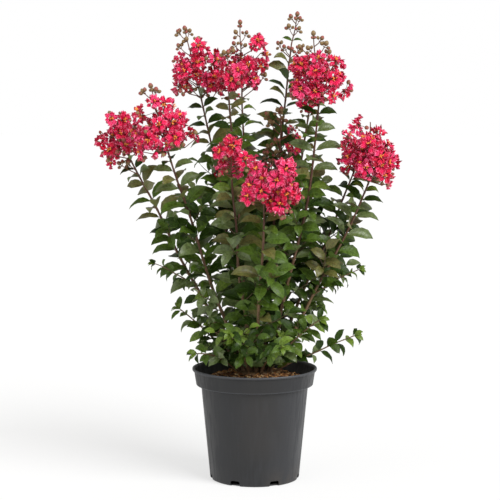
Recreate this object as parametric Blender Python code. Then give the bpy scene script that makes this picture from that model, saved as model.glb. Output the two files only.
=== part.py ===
"""Potted crape myrtle: a flowering shrub of many stems in its nursery pot.

Metres, +Z up, front towards -Y. The pot's flat underside lies on Z = 0 with its
centre at the origin. Every stem is a bough up to where its leaves begin, a leafy
mass above that, and a head of blossom on top. Each of them is one solid, and
solids that follow each other stay FIT apart.
"""

import math
import random

import bmesh
import bpy
from mathutils import Matrix, Vector
from mathutils.bvhtree import BVHTree

FIT = 0.0003
MERGES = (2e-6, 4e-6, 1e-6, 6e-6)

# Pot
POT_HEIGHT = 0.224
RIM_RADIUS = 0.125
LIP = 0.0055
COLLAR_TOP_RADIUS = 0.1215
COLLAR_FOOT_RADIUS = 0.1172
COLLAR_HEIGHT = 0.034
SHOULDER_RADIUS = 0.1072
FOOT_RADIUS = 0.0895
WALL = 0.0022
FLOOR = 0.003
FOOT_ROUNDING = 0.004
POT_SIDES = 36
NOTCHES = 7
NOTCH_WIDTH = 0.020
NOTCH_HEIGHT = 0.011
NOTCH_INNER_RADIUS = 0.0815

# Soil
SOIL_EDGE = 0.196
SOIL_TOP = 0.213
MOUND_RADIUS = 0.060
SOIL_SIDES = 18

# Root crown
CROWN_RADIUS = 0.041
CROWN_HEIGHT = 0.009
CROWN_SIDES = 12
STUB_LENGTH = 0.017
STUB_WIDENING = 1.12

# Stems
FOOT_FAN = 0.12
FOOT_LIFT = 0.004
FOOT_THICKNESS = 0.0036
TIP_THICKNESS = 0.0017
SPIKE_THICKNESS = 0.0011
SPIKE_BEND = 0.006
BOUGH_SIDES = 5

# Leaves
LEAF_LOW = 0.064
LEAF_HIGH = 0.046
LEAF_WIDTH = 0.52
LEAF_THICKNESS = 0.0016
LEAF_FOLD = 0.0030
LEAF_ROLL = 32
JOINT_STEP = 0.040
JOINT_TURN = math.radians(78)
LEANS = (62, 48, 34)
TWISTS = (0, 24, -24)
ROOT_SINK = 0.0003
CLEARANCE = 0.0010

# Side twigs
TWIG_LENGTH = 0.075
TWIG_THICKNESS = 0.0014
TWIG_LEAF = 0.044
TWIG_LEAVES = 4

# Blossom
FLORET_RADIUS = 0.0205
PETALS = 6
PETAL_NOTCH = 0.56
STALK_THICKNESS = 0.0009
BUD_LENGTH = 0.0145
BUD_WIDTH = 0.62

# Stem: tip of its leafy part, bow away from the axis, share of its length that is bare,
# top of its blossom spike from that tip, sideways set of the head, its half-width, florets, buds
STEMS = {
    "outer_left": ((-0.247, 0.020, 0.638), 0.000, 0.24, (-0.042, 0.000, 0.096), -0.014, 0.050, 11, 1),
    "left": ((-0.167, -0.080, 0.657), 0.004, 0.26, (-0.034, 0.000, 0.130), 0.004, 0.062, 13, 3),
    "high_left": ((-0.109, 0.100, 0.762), -0.008, 0.20, (-0.034, 0.000, 0.144), 0.006, 0.054, 12, 6),
    "high_back": ((-0.026, 0.130, 0.756), 0.000, 0.20, (-0.004, 0.000, 0.164), 0.026, 0.044, 13, 5),
    "middle": ((-0.051, 0.020, 0.757), 0.000, 0.20, (-0.002, 0.000, 0.098), -0.012, 0.036, 7, 2),
    "front_left": ((-0.044, -0.120, 0.608), 0.010, 0.24, (-0.004, -0.006, 0.076), 0.000, 0.040, 8, 1),
    "front": ((0.017, -0.170, 0.564), 0.016, 0.24, (0.018, -0.014, 0.084), 0.000, 0.060, 13, 1),
    "tallest": ((0.071, 0.150, 0.834), 0.006, 0.20, (0.018, 0.000, 0.104), 0.000, 0.010, 0, 8),
    "inner_right": ((0.051, 0.050, 0.645), 0.000, 0.24, (0.002, 0.000, 0.098), 0.000, 0.036, 7, 3),
    "high_right": ((0.125, -0.040, 0.749), 0.018, 0.20, (-0.012, 0.000, 0.140), 0.006, 0.060, 14, 6),
    "back_right": ((0.112, 0.080, 0.741), 0.006, 0.20, (-0.016, 0.006, 0.104), 0.000, 0.034, 6, 4),
    "outer_right": ((0.224, -0.030, 0.596), 0.010, 0.24, (0.002, 0.000, 0.126), 0.000, 0.062, 13, 1),
    "low_right": ((0.203, 0.090, 0.612), 0.006, 0.26, (-0.008, 0.004, 0.066), 0.000, 0.030, 5, 1),
    "back": ((0.016, 0.200, 0.531), 0.014, 0.26, (-0.004, 0.014, 0.100), 0.000, 0.048, 11, 1),
    "back_left": ((-0.058, 0.185, 0.596), 0.010, 0.24, (-0.006, 0.010, 0.080), 0.000, 0.038, 8, 1),
}

# Low shoot: tip, bow upwards
SHOOTS = {
    "left": ((-0.150, 0.020, 0.338), 0.012),
    "near_left": ((-0.114, -0.070, 0.262), 0.012),
    "far_left": ((-0.112, 0.100, 0.312), 0.016),
    "front_left": ((-0.046, -0.136, 0.312), 0.020),
    "front_right": ((0.052, -0.138, 0.286), 0.018),
    "near_right": ((0.126, -0.084, 0.330), 0.014),
    "right": ((0.198, -0.018, 0.290), 0.002),
    "far_right": ((0.128, 0.100, 0.330), 0.014),
    "back_right": ((0.046, 0.146, 0.322), 0.016),
    "back_left": ((-0.036, 0.146, 0.296), 0.018),
}
SHOOT_FOOT = 0.034
SHOOT_THICKNESS = 0.0020
SHOOT_TIP = 0.0011
SHOOT_LEAF = 0.045
SHOOT_STEP = 0.033

# Base colour and roughness
COLOURS = {
    "pot": ((0.042, 0.044, 0.047), 0.55),
    "soil": ((0.055, 0.030, 0.016), 0.95),
    "bark": ((0.095, 0.042, 0.026), 0.75),
    "leaf": ((0.034, 0.082, 0.020), 0.42),
    "blossom": ((0.620, 0.012, 0.085), 0.60),
}


def reset_scene():
    for thing in list(bpy.data.objects):
        bpy.data.objects.remove(thing, do_unlink=True)


def look(name, slot):
    colour, roughness = COLOURS[slot]
    material = bpy.data.materials.new(name)
    material.use_nodes = True
    shader = material.node_tree.nodes["Principled BSDF"]
    shader.inputs["Base Color"].default_value = (*colour, 1.0)
    shader.inputs["Roughness"].default_value = roughness
    return material


def add_object(name, shape, collection=None):
    points, faces = shape
    mesh = bpy.data.meshes.new(name)
    mesh.from_pydata(points, [], faces)
    work = bmesh.new()
    work.from_mesh(mesh)
    bmesh.ops.recalc_face_normals(work, faces=work.faces)
    work.to_mesh(mesh)
    work.free()
    thing = bpy.data.objects.new(name, mesh)
    (collection or bpy.context.scene.collection).objects.link(thing)
    return thing


def across(direction):
    """Any direction square to this one, kept level where it can be."""
    level = Vector((0.0, 0.0, 1.0)).cross(direction)
    return level.normalized() if level.length > 1e-6 else Vector((1.0, 0.0, 0.0))


class Path:
    """A line through space of straight steps, with distances measured along it."""

    def __init__(self, points):
        self.points = points
        self.marks = [0.0]
        for one, other in zip(points, points[1:]):
            self.marks.append(self.marks[-1] + (other - one).length)
        self.length = self.marks[-1]

    def at(self, distance):
        """Point and heading at a distance along the path."""
        distance = min(max(distance, 0.0), self.length)
        step = max(i for i, mark in enumerate(self.marks[:-1]) if mark <= distance)
        one, other = self.points[step], self.points[step + 1]
        share = (distance - self.marks[step]) / (self.marks[step + 1] - self.marks[step])
        return one.lerp(other, share), (other - one).normalized()

    def piece(self, begin, end):
        """The corner points of the part of the path between two distances."""
        inner = [p for p, mark in zip(self.points, self.marks) if begin + 1e-4 < mark < end - 1e-4]
        return [self.at(begin)[0], *inner, self.at(end)[0]]


def bowed(start, end, bow, steps):
    """The path of a limb that bends once, its middle pushed out by the bow."""
    control = (start + end) / 2 + bow * 2
    points = []
    for step in range(steps + 1):
        t = step / steps
        points.append(start * (1 - t) ** 2 + control * 2 * t * (1 - t) + end * t**2)
    return Path(points)


def tube(points, begin, end, sides):
    """A tapering limb along these points, closed at both ends."""
    corners, faces = [], []
    side = across(points[1] - points[0])
    for index, point in enumerate(points):
        before = points[max(index - 1, 0)]
        after = points[min(index + 1, len(points) - 1)]
        heading = (after - before).normalized()
        side = (side - heading * side.dot(heading)).normalized()
        other = heading.cross(side)
        radius = begin + (end - begin) * index / (len(points) - 1)
        for k in range(sides):
            angle = math.tau * k / sides
            corners.append(point + (side * math.cos(angle) + other * math.sin(angle)) * radius)
    for ring in range(len(points) - 1):
        for k in range(sides):
            low, turn = ring * sides, (k + 1) % sides
            faces.append((low + k, low + turn, low + sides + turn, low + sides + k))
    faces.append(tuple(range(sides))[::-1])
    last = (len(points) - 1) * sides
    faces.append(tuple(range(last, last + sides)))
    return corners, faces


def turned(outline, sides):
    """A solid of revolution; the outline's first and last points are on the axis."""
    corners = [Vector((0.0, 0.0, outline[0][1]))]
    for radius, height in outline[1:-1]:
        for k in range(sides):
            angle = math.tau * k / sides
            corners.append(Vector((radius * math.cos(angle), radius * math.sin(angle), height)))
    corners.append(Vector((0.0, 0.0, outline[-1][1])))
    rings = len(outline) - 2
    last = len(corners) - 1
    faces = []
    for k in range(sides):
        turn = (k + 1) % sides
        faces.append((0, 1 + turn, 1 + k))
        for ring in range(rings - 1):
            low = 1 + ring * sides
            faces.append((low + k, low + turn, low + sides + turn, low + sides + k))
        top = 1 + (rings - 1) * sides
        faces.append((top + k, top + turn, last))
    return corners, faces


BLADE = ((0, 1, 3), (0, 3, 2), (0, 4, 1), (1, 4, 3), (3, 4, 2), (2, 4, 0))
DROP = ((0, 2, 1), (0, 3, 2), (0, 4, 3), (0, 1, 4), (5, 1, 2), (5, 2, 3), (5, 3, 4), (5, 4, 1))


def leaf(root, heading, face, length, clearance=0.0, from_root=None):
    """A folded blade of six faces: root, two edge points, tip, and a keel beneath."""
    side = heading.cross(face).normalized()
    up = side.cross(heading).normalized()
    half = length * LEAF_WIDTH / 2 + clearance
    start = -ROOT_SINK - clearance if from_root is None else from_root
    middle = root + heading * length * 0.46 + up * (LEAF_FOLD + clearance)
    return [
        root + heading * start,
        middle + side * half,
        middle - side * half,
        root + heading * (length + clearance),
        root + heading * length * 0.30 - up * (LEAF_THICKNESS + clearance),
    ], BLADE


def bud(root, heading, length, clearance=0.0):
    """A round bud that narrows to its root."""
    side = across(heading)
    other = heading.cross(side)
    wide = length * BUD_WIDTH / 2 + clearance
    middle = root + heading * length * 0.64
    return [
        root - heading * (ROOT_SINK + clearance),
        middle + side * wide,
        middle + other * wide,
        middle - side * wide,
        middle - other * wide,
        root + heading * (length + clearance),
    ], DROP


def floret(root, centre, facing, radius):
    """A six-petalled flower whose three-sided stalk starts at its root."""
    side = across(facing)
    other = facing.cross(side)
    away = (centre - root).normalized()
    stalk_side = across(away)
    stalk_other = away.cross(stalk_side)
    corners, faces = [], []
    for k in range(2 * PETALS):
        angle = math.pi * k / PETALS
        reach = radius if k % 2 == 0 else radius * PETAL_NOTCH
        rise = radius * (0.16 if k % 2 == 0 else 0.02)
        spread = side * math.cos(angle) + other * math.sin(angle)
        corners.append(centre + spread * reach + facing * rise)
    for base, width in ((centre - facing * radius * 0.34, 1.3), (root, 0.7)):
        for k in range(3):
            angle = math.tau * k / 3
            spread = stalk_side * math.cos(angle) + stalk_other * math.sin(angle)
            corners.append(base + spread * STALK_THICKNESS * width)
    corners.append(centre - facing * radius * 0.10)
    rim, neck, foot, heart = 2 * PETALS, 2 * PETALS, 2 * PETALS + 3, 2 * PETALS + 6
    start = min(range(rim), key=lambda k: (corners[k] - centre).normalized().dot(
        (corners[neck] - base_of(corners, neck)).normalized()) * -1)
    share = rim // 3
    for k in range(rim):
        faces.append((k, (k + 1) % rim, heart))
    for k in range(3):
        for step in range(-share // 2, share // 2):
            a = (start + share * k + step) % rim
            faces.append(((a + 1) % rim, a, neck + k))
        a = (start + share * k + share // 2) % rim
        faces.append((a, neck + k, neck + (k + 1) % 3))
        turn = (k + 1) % 3
        faces.append((neck + k, foot + k, foot + turn, neck + turn))
    faces.append((foot, foot + 2, foot + 1))
    return corners, faces


def base_of(corners, neck):
    return (corners[neck] + corners[neck + 1] + corners[neck + 2]) / 3


def disc_guard(centre, facing, radius):
    """A plain double cone that encloses a floret's petals and the air just round them."""
    side = across(facing)
    other = facing.cross(side)
    corners = [centre - facing * (radius * 0.2 + CLEARANCE)]
    for k in range(6):
        angle = math.tau * k / 6
        spread = side * math.cos(angle) + other * math.sin(angle)
        corners.append(centre + spread * (radius + CLEARANCE) * 1.04 + facing * radius * 0.1)
    corners.append(centre + facing * (radius * 0.2 + CLEARANCE))
    faces = []
    for k in range(6):
        turn = (k + 1) % 6
        faces.append((0, 1 + turn, 1 + k))
        faces.append((7, 1 + k, 1 + turn))
    return corners, faces


class Space:
    """Every placed piece with its owner, so that a new piece can keep clear of them."""

    def __init__(self):
        self.placed = []

    @staticmethod
    def bounds(points):
        centre = sum(points, Vector()) / len(points)
        return centre, max((p - centre).length for p in points)

    def add(self, owner, shape):
        centre, reach = self.bounds(shape[0])
        self.placed.append((owner, centre, reach, BVHTree.FromPolygons(*shape)))

    def free(self, shape, but_not=None):
        """True where no piece, apart from those of one owner, meets this shape."""
        centre, reach = self.bounds(shape[0])
        tree = BVHTree.FromPolygons(*shape)
        for owner, middle, size, other in self.placed:
            if owner != but_not and (middle - centre).length < size + reach and tree.overlap(other):
                return False
        return True


def pot_outlines():
    """The outside and the inside of the pot, from the foot up."""
    shoulder = POT_HEIGHT - COLLAR_HEIGHT
    outside = [
        (FOOT_RADIUS - FOOT_ROUNDING, 0.0),
        (FOOT_RADIUS - FOOT_ROUNDING * 0.3, FOOT_ROUNDING * 0.3),
        (FOOT_RADIUS, FOOT_ROUNDING),
        (SHOULDER_RADIUS, shoulder),
        (COLLAR_FOOT_RADIUS, shoulder + 0.0008),
        (COLLAR_TOP_RADIUS, POT_HEIGHT - LIP),
        (RIM_RADIUS, POT_HEIGHT - LIP * 0.4),
        (RIM_RADIUS - 0.0006, POT_HEIGHT),
    ]
    inside = [
        (COLLAR_TOP_RADIUS + 0.0002, POT_HEIGHT),
        (COLLAR_TOP_RADIUS - WALL, POT_HEIGHT - LIP),
        (COLLAR_FOOT_RADIUS - WALL, shoulder + WALL + 0.0008),
        (SHOULDER_RADIUS - WALL, shoulder + WALL),
        (FOOT_RADIUS - WALL, FLOOR),
    ]
    return outside, inside


def make_pot():
    outside, inside = pot_outlines()
    pot = add_object("pot", turned([(0.0, 0.0), *outside, *inside, (0.0, FLOOR)], POT_SIDES))
    cutters = bpy.data.collections.new("notches")
    bpy.context.scene.collection.children.link(cutters)
    outer = FOOT_RADIUS + 0.01
    for k in range(NOTCHES):
        angle = -math.pi / 2 + math.tau * (k + 0.5) / NOTCHES
        turn = Matrix.Rotation(angle, 4, "Z")
        corners = []
        for x in (NOTCH_INNER_RADIUS, outer):
            for y in (-NOTCH_WIDTH / 2, NOTCH_WIDTH / 2):
                for z in (-0.001, NOTCH_HEIGHT):
                    corners.append(turn @ Vector((x, y, z)))
        faces = [(0, 1, 3, 2), (4, 6, 7, 5), (0, 4, 5, 1), (2, 3, 7, 6), (0, 2, 6, 4), (1, 5, 7, 3)]
        add_object("notch", (corners, faces), cutters)
    boolean(pot, cutters, "DIFFERENCE")
    settle(pot)
    return pot


def soil_shape():
    """Potting bark from the floor up, heaped a little round the stems."""
    inside = pot_outlines()[1]
    body = [(r - FIT, z) for r, z in reversed(inside)]
    low = (body[0][0], FLOOR + FIT)
    shoulder = (body[1][0], body[1][1] + FIT)
    collar = body[2]
    edge_share = (SOIL_EDGE - collar[1]) / (body[3][1] - collar[1])
    edge_radius = collar[0] + (body[3][0] - collar[0]) * edge_share
    outline = [(0.0, low[1]), low, shoulder, (collar[0], collar[1] + FIT), (edge_radius, SOIL_EDGE)]
    outline += [(MOUND_RADIUS + 0.022, SOIL_EDGE + 0.007), (MOUND_RADIUS, SOIL_TOP - 0.001)]
    outline += [(MOUND_RADIUS - 0.012, SOIL_TOP), (0.0, SOIL_TOP)]
    return turned(outline, SOIL_SIDES)


def boolean(thing, collection, operation, solver="EXACT"):
    """Join or cut with a whole collection, apply it, then take the collection away."""
    modifier = thing.modifiers.new("work", "BOOLEAN")
    modifier.operation = operation
    modifier.operand_type = "COLLECTION"
    modifier.collection = collection
    modifier.solver = solver
    bpy.context.view_layer.update()
    graph = bpy.context.evaluated_depsgraph_get()
    mesh = bpy.data.meshes.new_from_object(thing.evaluated_get(graph))
    thing.modifiers.clear()
    thing.data = mesh
    for piece in list(collection.objects):
        bpy.data.objects.remove(piece, do_unlink=True)
    bpy.data.collections.remove(collection)


def settle(thing, merge=MERGES[0]):
    """Leave one closed body: no scraps, no sealed hollows, no needless corners."""
    work = bmesh.new()
    work.from_mesh(thing.data)
    bmesh.ops.remove_doubles(work, verts=work.verts, dist=merge)
    bmesh.ops.dissolve_degenerate(work, dist=merge, edges=work.edges)
    left = set(work.faces)
    bodies = []
    while left:
        front = [left.pop()]
        body = list(front)
        while front:
            for edge in front.pop().edges:
                for face in edge.link_faces:
                    if face in left:
                        left.remove(face)
                        front.append(face)
                        body.append(face)
        bodies.append(body)
    bodies.sort(key=len, reverse=True)
    for body in bodies[1:]:
        bmesh.ops.delete(work, geom=body, context="FACES")
    bmesh.ops.triangulate(work, faces=work.faces, quad_method="SHORT_EDGE", ngon_method="EAR_CLIP")
    work.to_mesh(thing.data)
    work.free()
    thing.data.materials.clear()


def is_closed(thing):
    work = bmesh.new()
    work.from_mesh(thing.data)
    closed = all(edge.is_manifold for edge in work.edges)
    volume = work.calc_volume(signed=True)
    work.free()
    return closed and volume > 0


def fuse(name, stem, pieces):
    """One solid of a stem and the pieces sunk in it, or of fewer pieces if they don't join."""
    for keep in (1.0, 0.9, 0.8):
        for solver in ("EXACT", "MANIFOLD"):
            for merge in MERGES:
                thing = add_object(name, stem)
                group = bpy.data.collections.new(name)
                bpy.context.scene.collection.children.link(group)
                for piece in pieces[: math.ceil(len(pieces) * keep)]:
                    add_object("piece", piece, group)
                boolean(thing, group, "UNION", solver)
                settle(thing, merge)
                if is_closed(thing):
                    return thing
                bpy.data.objects.remove(thing, do_unlink=True)
    raise RuntimeError(f"{name}: its pieces don't join into one closed solid")


class Limb:
    """One stem or shoot: its path, and the leafy and flowering parts placed on it."""

    def __init__(self, foot, tip, bow, bare, radii, steps):
        self.path = bowed(foot, tip, bow, steps)
        self.bare = self.path.length * bare
        self.radii = radii
        self.leafy = []
        self.blossom = []

    def radius(self, distance):
        begin, end = self.radii
        return begin + (end - begin) * distance / self.path.length


def place_leaf(space, owner, pieces, root, axis, around, length, rng):
    """Put one leaf in free space: first as it leans by itself, then steeper or turned."""
    roll = rng.uniform(-LEAF_ROLL, LEAF_ROLL)
    for lean in LEANS:
        for twist in TWISTS:
            angle = math.radians(lean + rng.uniform(-4, 4))
            out = Matrix.Rotation(math.radians(twist), 3, axis) @ around
            heading = (axis * math.cos(angle) + out * math.sin(angle)).normalized()
            face = axis * math.sin(angle) - out * math.cos(angle)
            face = Matrix.Rotation(math.radians(roll), 3, heading) @ face
            outer = leaf(root, heading, face, length, CLEARANCE, length * 0.16)
            whole = leaf(root, heading, face, length, CLEARANCE)
            if space.free(outer) and space.free(whole, owner):
                shape = leaf(root, heading, face, length)
                space.add(owner, shape)
                pieces.append(shape)
                return True
    return False


def place_twig(space, owner, pieces, root, axis, around, length, rng):
    """A side twig with a leaf at each joint and one at its end."""
    for lean in LEANS:
        angle = math.radians(lean)
        heading = (axis * math.cos(angle) + around * math.sin(angle)).normalized()
        tip = root + heading * length + Vector((0, 0, length * 0.12))
        path = bowed(root + heading * ROOT_SINK, tip, Vector((0, 0, -length * 0.03)), 2)
        guard = tube(path.piece(0.012, path.length), TWIG_THICKNESS * 2, TWIG_THICKNESS * 2, 3)
        whole = tube(path.points, TWIG_THICKNESS * 2, TWIG_THICKNESS * 2, 3)
        if space.free(guard) and space.free(whole, owner):
            break
    else:
        return
    shape = tube(path.points, TWIG_THICKNESS, TWIG_THICKNESS * 0.7, 3)
    space.add(owner, shape)
    pieces.append(shape)
    turn = rng.uniform(0, math.tau)
    for joint in range(1, TWIG_LEAVES):
        point, along = path.at(path.length * (0.22 + 0.72 * joint / TWIG_LEAVES))
        turn += math.pi + rng.uniform(-0.4, 0.4) + (0.9 if joint % 2 else 0)
        out = Matrix.Rotation(turn, 3, along) @ across(along)
        place_leaf(space, owner, pieces, point, along, out, TWIG_LEAF * rng.uniform(0.9, 1.08), rng)
    point, along = path.at(path.length - 0.003)
    place_leaf(space, owner, pieces, point, along, across(along) * 0.2, TWIG_LEAF, rng)


def make_limbs():
    """Work out every stem and shoot from its named sizes."""
    limbs = {}
    ground = SOIL_TOP + FIT + FOOT_LIFT
    for name, (tip, bow, bare, *_head) in STEMS.items():
        end = Vector(tip)
        outward = Vector((end.x, end.y, 0.0)).normalized()
        foot = Vector((end.x * FOOT_FAN, end.y * FOOT_FAN, ground))
        limbs["stem", name] = Limb(foot, end, outward * bow, bare, (FOOT_THICKNESS, TIP_THICKNESS), 8)
    for name, (tip, bow) in SHOOTS.items():
        end = Vector(tip)
        outward = Vector((end.x, end.y, 0.0)).normalized()
        foot = outward * SHOOT_FOOT + Vector((0.0, 0.0, ground - 0.002))
        limb = Limb(foot, end, Vector((0.0, 0.0, bow)), 0.0, (SHOOT_THICKNESS, SHOOT_TIP), 6)
        limb.bare = STUB_LENGTH
        limbs["shoot", name] = limb
    return limbs


def stem_shape(limb, begin, end, sides):
    widening = 1.0 if sides > 4 else 1.25
    low, high = limb.radius(begin) * widening, limb.radius(end) * widening
    return tube(limb.path.piece(begin, end), low, high, sides)


def spike_path(name, limb):
    """The axis of a head of blossom: it goes on from its stem, then turns to its own top."""
    along = limb.path.at(limb.path.length)[1]
    start = limb.path.points[-1] + along * FIT
    bend = start + along * SPIKE_BEND
    top = Vector(STEMS[name][0]) + Vector(STEMS[name][3])
    return Path([start, bend, top - (top - bend).normalized() * BUD_LENGTH])


def place_blossom(space, name, limb, rng):
    """Florets on an egg-shaped head round the spike, and buds up to its top."""
    rise, set_over, half_width, florets, buds = STEMS[name][3:]
    owner = ("blossom", name)
    spike = spike_path(name, limb)
    axis = spike.at(spike.length)[1]
    side = across(axis)
    other = axis.cross(side)
    body = spike.length * (0.84 if buds > 2 else 1.0)
    radius = min(FLORET_RADIUS, half_width * 0.46)
    turn = rng.uniform(0, math.tau)
    for k in range(florets):
        share = (k + 0.6) / florets
        turn += math.radians(137.5)
        for shift in (0, 20, -20, 40, -40, 60):
            angle = turn + math.radians(shift)
            out = side * math.cos(angle) + other * math.sin(angle)
            spread = half_width - radius * 0.35
            profile = math.sin(math.pi * (0.16 + 0.74 * share) ** 0.8) * (1.15 - 0.45 * share)
            height = body * (0.02 + 0.95 * share)
            sideways = Vector((set_over * min(1.0, 2.2 * share), 0.0, 0.0))
            centre = spike.at(0)[0] + axis * height + out * spread * profile + sideways
            root = spike.at(max(0.004, height - spread * profile * 0.7))[0]
            facing = (out * (1.0 - 0.35 * share) + axis * (0.15 + 0.7 * share)).normalized()
            stalk = [root.lerp(centre, 0.35), centre - facing * radius * 0.4]
            stalk_guard = tube(stalk, STALK_THICKNESS * 2, STALK_THICKNESS * 2, 3)
            if space.free(disc_guard(centre, facing, radius)) and space.free(stalk_guard):
                shape = floret(root, centre, facing, radius)
                space.add(owner, shape)
                limb.blossom.append(shape)
                break
    for k in range(buds):
        share = 1.0 - 0.40 * k / max(buds - 1, 1)
        point, along = spike.at(spike.length * share - 0.001)
        angle = turn + k * 2.3
        out = side * math.cos(angle) + other * math.sin(angle)
        heading = along if k == 0 else (along * 0.5 + out).normalized()
        if space.free(bud(point + heading * 0.003, heading, BUD_LENGTH, CLEARANCE), owner):
            shape = bud(point, heading, BUD_LENGTH)
            space.add(owner, shape)
            limb.blossom.append(shape)


def grow(space, limbs, rng):
    """Give each limb its leaves in turn, one joint at a time, so that they share the room."""
    joints = []
    for (kind, name), limb in limbs.items():
        owner = ("leaves" if kind == "stem" else "shoot", name)
        step = JOINT_STEP if kind == "stem" else SHOOT_STEP
        room = limb.path.length - limb.bare - 0.016
        count = int(room / step)
        turn = rng.uniform(0, math.tau)
        for k in range(count + 1):
            distance = limb.bare + 0.010 + room * k / max(count, 1)
            joints.append((k, rng.random(), owner, limb, distance, turn + JOINT_TURN * k))
    joints.sort(key=lambda joint: joint[:2])
    for k, _order, owner, limb, distance, turn in joints:
        kind = owner[0]
        point, along = limb.path.at(distance)
        share = distance / limb.path.length
        if kind == "leaves":
            length = LEAF_LOW + (LEAF_HIGH - LEAF_LOW) * share**2
        else:
            length = SHOOT_LEAF
        for half in (0, math.pi):
            angle = turn + half + rng.uniform(-0.15, 0.15)
            out = Matrix.Rotation(angle, 3, along) @ across(along)
            if kind == "leaves" and half == 0 and k in (1, 3) and share < 0.62:
                place_twig(space, owner, limb.leafy, point, along, out, TWIG_LENGTH, rng)
            else:
                size = length * rng.uniform(0.92, 1.06)
                place_leaf(space, owner, limb.leafy, point, along, out, size, rng)
        if kind == "shoot" and distance > limb.path.length - 0.012:
            place_leaf(space, owner, limb.leafy, point, along, across(along) * 0.25, length, rng)


def make_crown(limbs):
    ground = SOIL_TOP + FIT
    outline = [(0.0, ground), (CROWN_RADIUS, ground), (CROWN_RADIUS * 0.8, ground + CROWN_HEIGHT * 0.6)]
    outline += [(CROWN_RADIUS * 0.4, ground + CROWN_HEIGHT), (0.0, ground + CROWN_HEIGHT)]
    stubs = []
    for limb in limbs.values():
        radius = limb.radius(0) * STUB_WIDENING
        stubs.append(tube(limb.path.piece(0.0, STUB_LENGTH), radius, radius, 4))
    return fuse("crown", turned(outline, CROWN_SIDES), stubs)


def main():
    reset_scene()
    rng = random.Random(2024)
    space = Space()
    limbs = make_limbs()
    slots = {}

    pot = make_pot()
    slots[pot.name] = "pot"
    soil = add_object("soil", soil_shape())
    settle(soil)
    slots[soil.name] = "soil"
    outside, inside = pot_outlines()
    space.add("pot", turned([(0.0, 0.0), *outside, *inside, (0.0, FLOOR)], POT_SIDES))
    space.add("soil", soil_shape())
    crown = make_crown(limbs)
    slots[crown.name] = "bark"

    start = STUB_LENGTH + FIT
    stems = {}
    for (kind, name), limb in limbs.items():
        if kind == "stem":
            bough = stem_shape(limb, start, limb.bare, BOUGH_SIDES)
            space.add(("bough", name), bough)
            thing = add_object(f"bough_{name}", bough)
            settle(thing)
            slots[thing.name] = "bark"
            stems[kind, name] = stem_shape(limb, limb.bare + FIT, limb.path.length, 3)
            spike = spike_path(name, limb)
            shape = tube(spike.points, TIP_THICKNESS * 1.25, SPIKE_THICKNESS * 1.25, 3)
            stems["blossom", name] = shape
            space.add(("blossom", name), shape)
            space.add(("leaves", name), stems[kind, name])
        else:
            stems[kind, name] = stem_shape(limb, start, limb.path.length, 3)
            space.add(("shoot", name), stems[kind, name])

    for (kind, name), limb in limbs.items():
        if kind == "stem":
            place_blossom(space, name, limb, rng)
    grow(space, limbs, rng)

    for (kind, name), limb in limbs.items():
        prefix = "leaves" if kind == "stem" else "shoot"
        mass = fuse(f"{prefix}_{name}", stems[kind, name], limb.leafy)
        slots[mass.name] = "leaf"
        if kind == "stem":
            head = fuse(f"blossom_{name}", stems["blossom", name], limb.blossom)
            slots[head.name] = "blossom"

    for thing in bpy.data.objects:
        thing.data.materials.append(look(thing.name, slots[thing.name]))


main()
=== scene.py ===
"""Potted crape myrtle: a flowering shrub of many stems in its nursery pot.

Metres, +Z up, front towards -Y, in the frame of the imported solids. Each leafy mass
and each head of blossom grows again here by the rule of its solid, with smaller
leaves on more twigs and with whole flowers, and each keeps to its solid's room.
"""

import math

import bmesh
import bpy
import numpy as np
from bpy.props import FloatProperty, FloatVectorProperty, IntProperty, PointerProperty
from mathutils import Matrix, Vector, noise


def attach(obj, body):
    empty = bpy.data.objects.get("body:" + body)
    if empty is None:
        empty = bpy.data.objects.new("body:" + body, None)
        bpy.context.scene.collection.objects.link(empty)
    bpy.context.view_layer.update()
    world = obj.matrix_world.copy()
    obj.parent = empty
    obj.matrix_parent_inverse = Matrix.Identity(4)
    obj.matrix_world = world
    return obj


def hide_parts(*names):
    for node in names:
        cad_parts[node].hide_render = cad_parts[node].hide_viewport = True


bl_info = {
    "name": "Potted crape myrtle",
    "version": (1, 0, 0),
    "blender": (4, 5, 0),
    "location": "3D View > Sidebar > Myrtle",
    "description": "Models a flowering shrub of many stems in its nursery pot",
    "category": "Object",
}

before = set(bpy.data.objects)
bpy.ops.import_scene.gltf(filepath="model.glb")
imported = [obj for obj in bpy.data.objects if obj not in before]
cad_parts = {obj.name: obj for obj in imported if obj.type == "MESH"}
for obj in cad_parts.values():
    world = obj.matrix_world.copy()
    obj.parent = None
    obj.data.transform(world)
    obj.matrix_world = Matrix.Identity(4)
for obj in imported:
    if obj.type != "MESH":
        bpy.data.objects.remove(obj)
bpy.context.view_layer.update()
UV_NAME = "OFBake"

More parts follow.
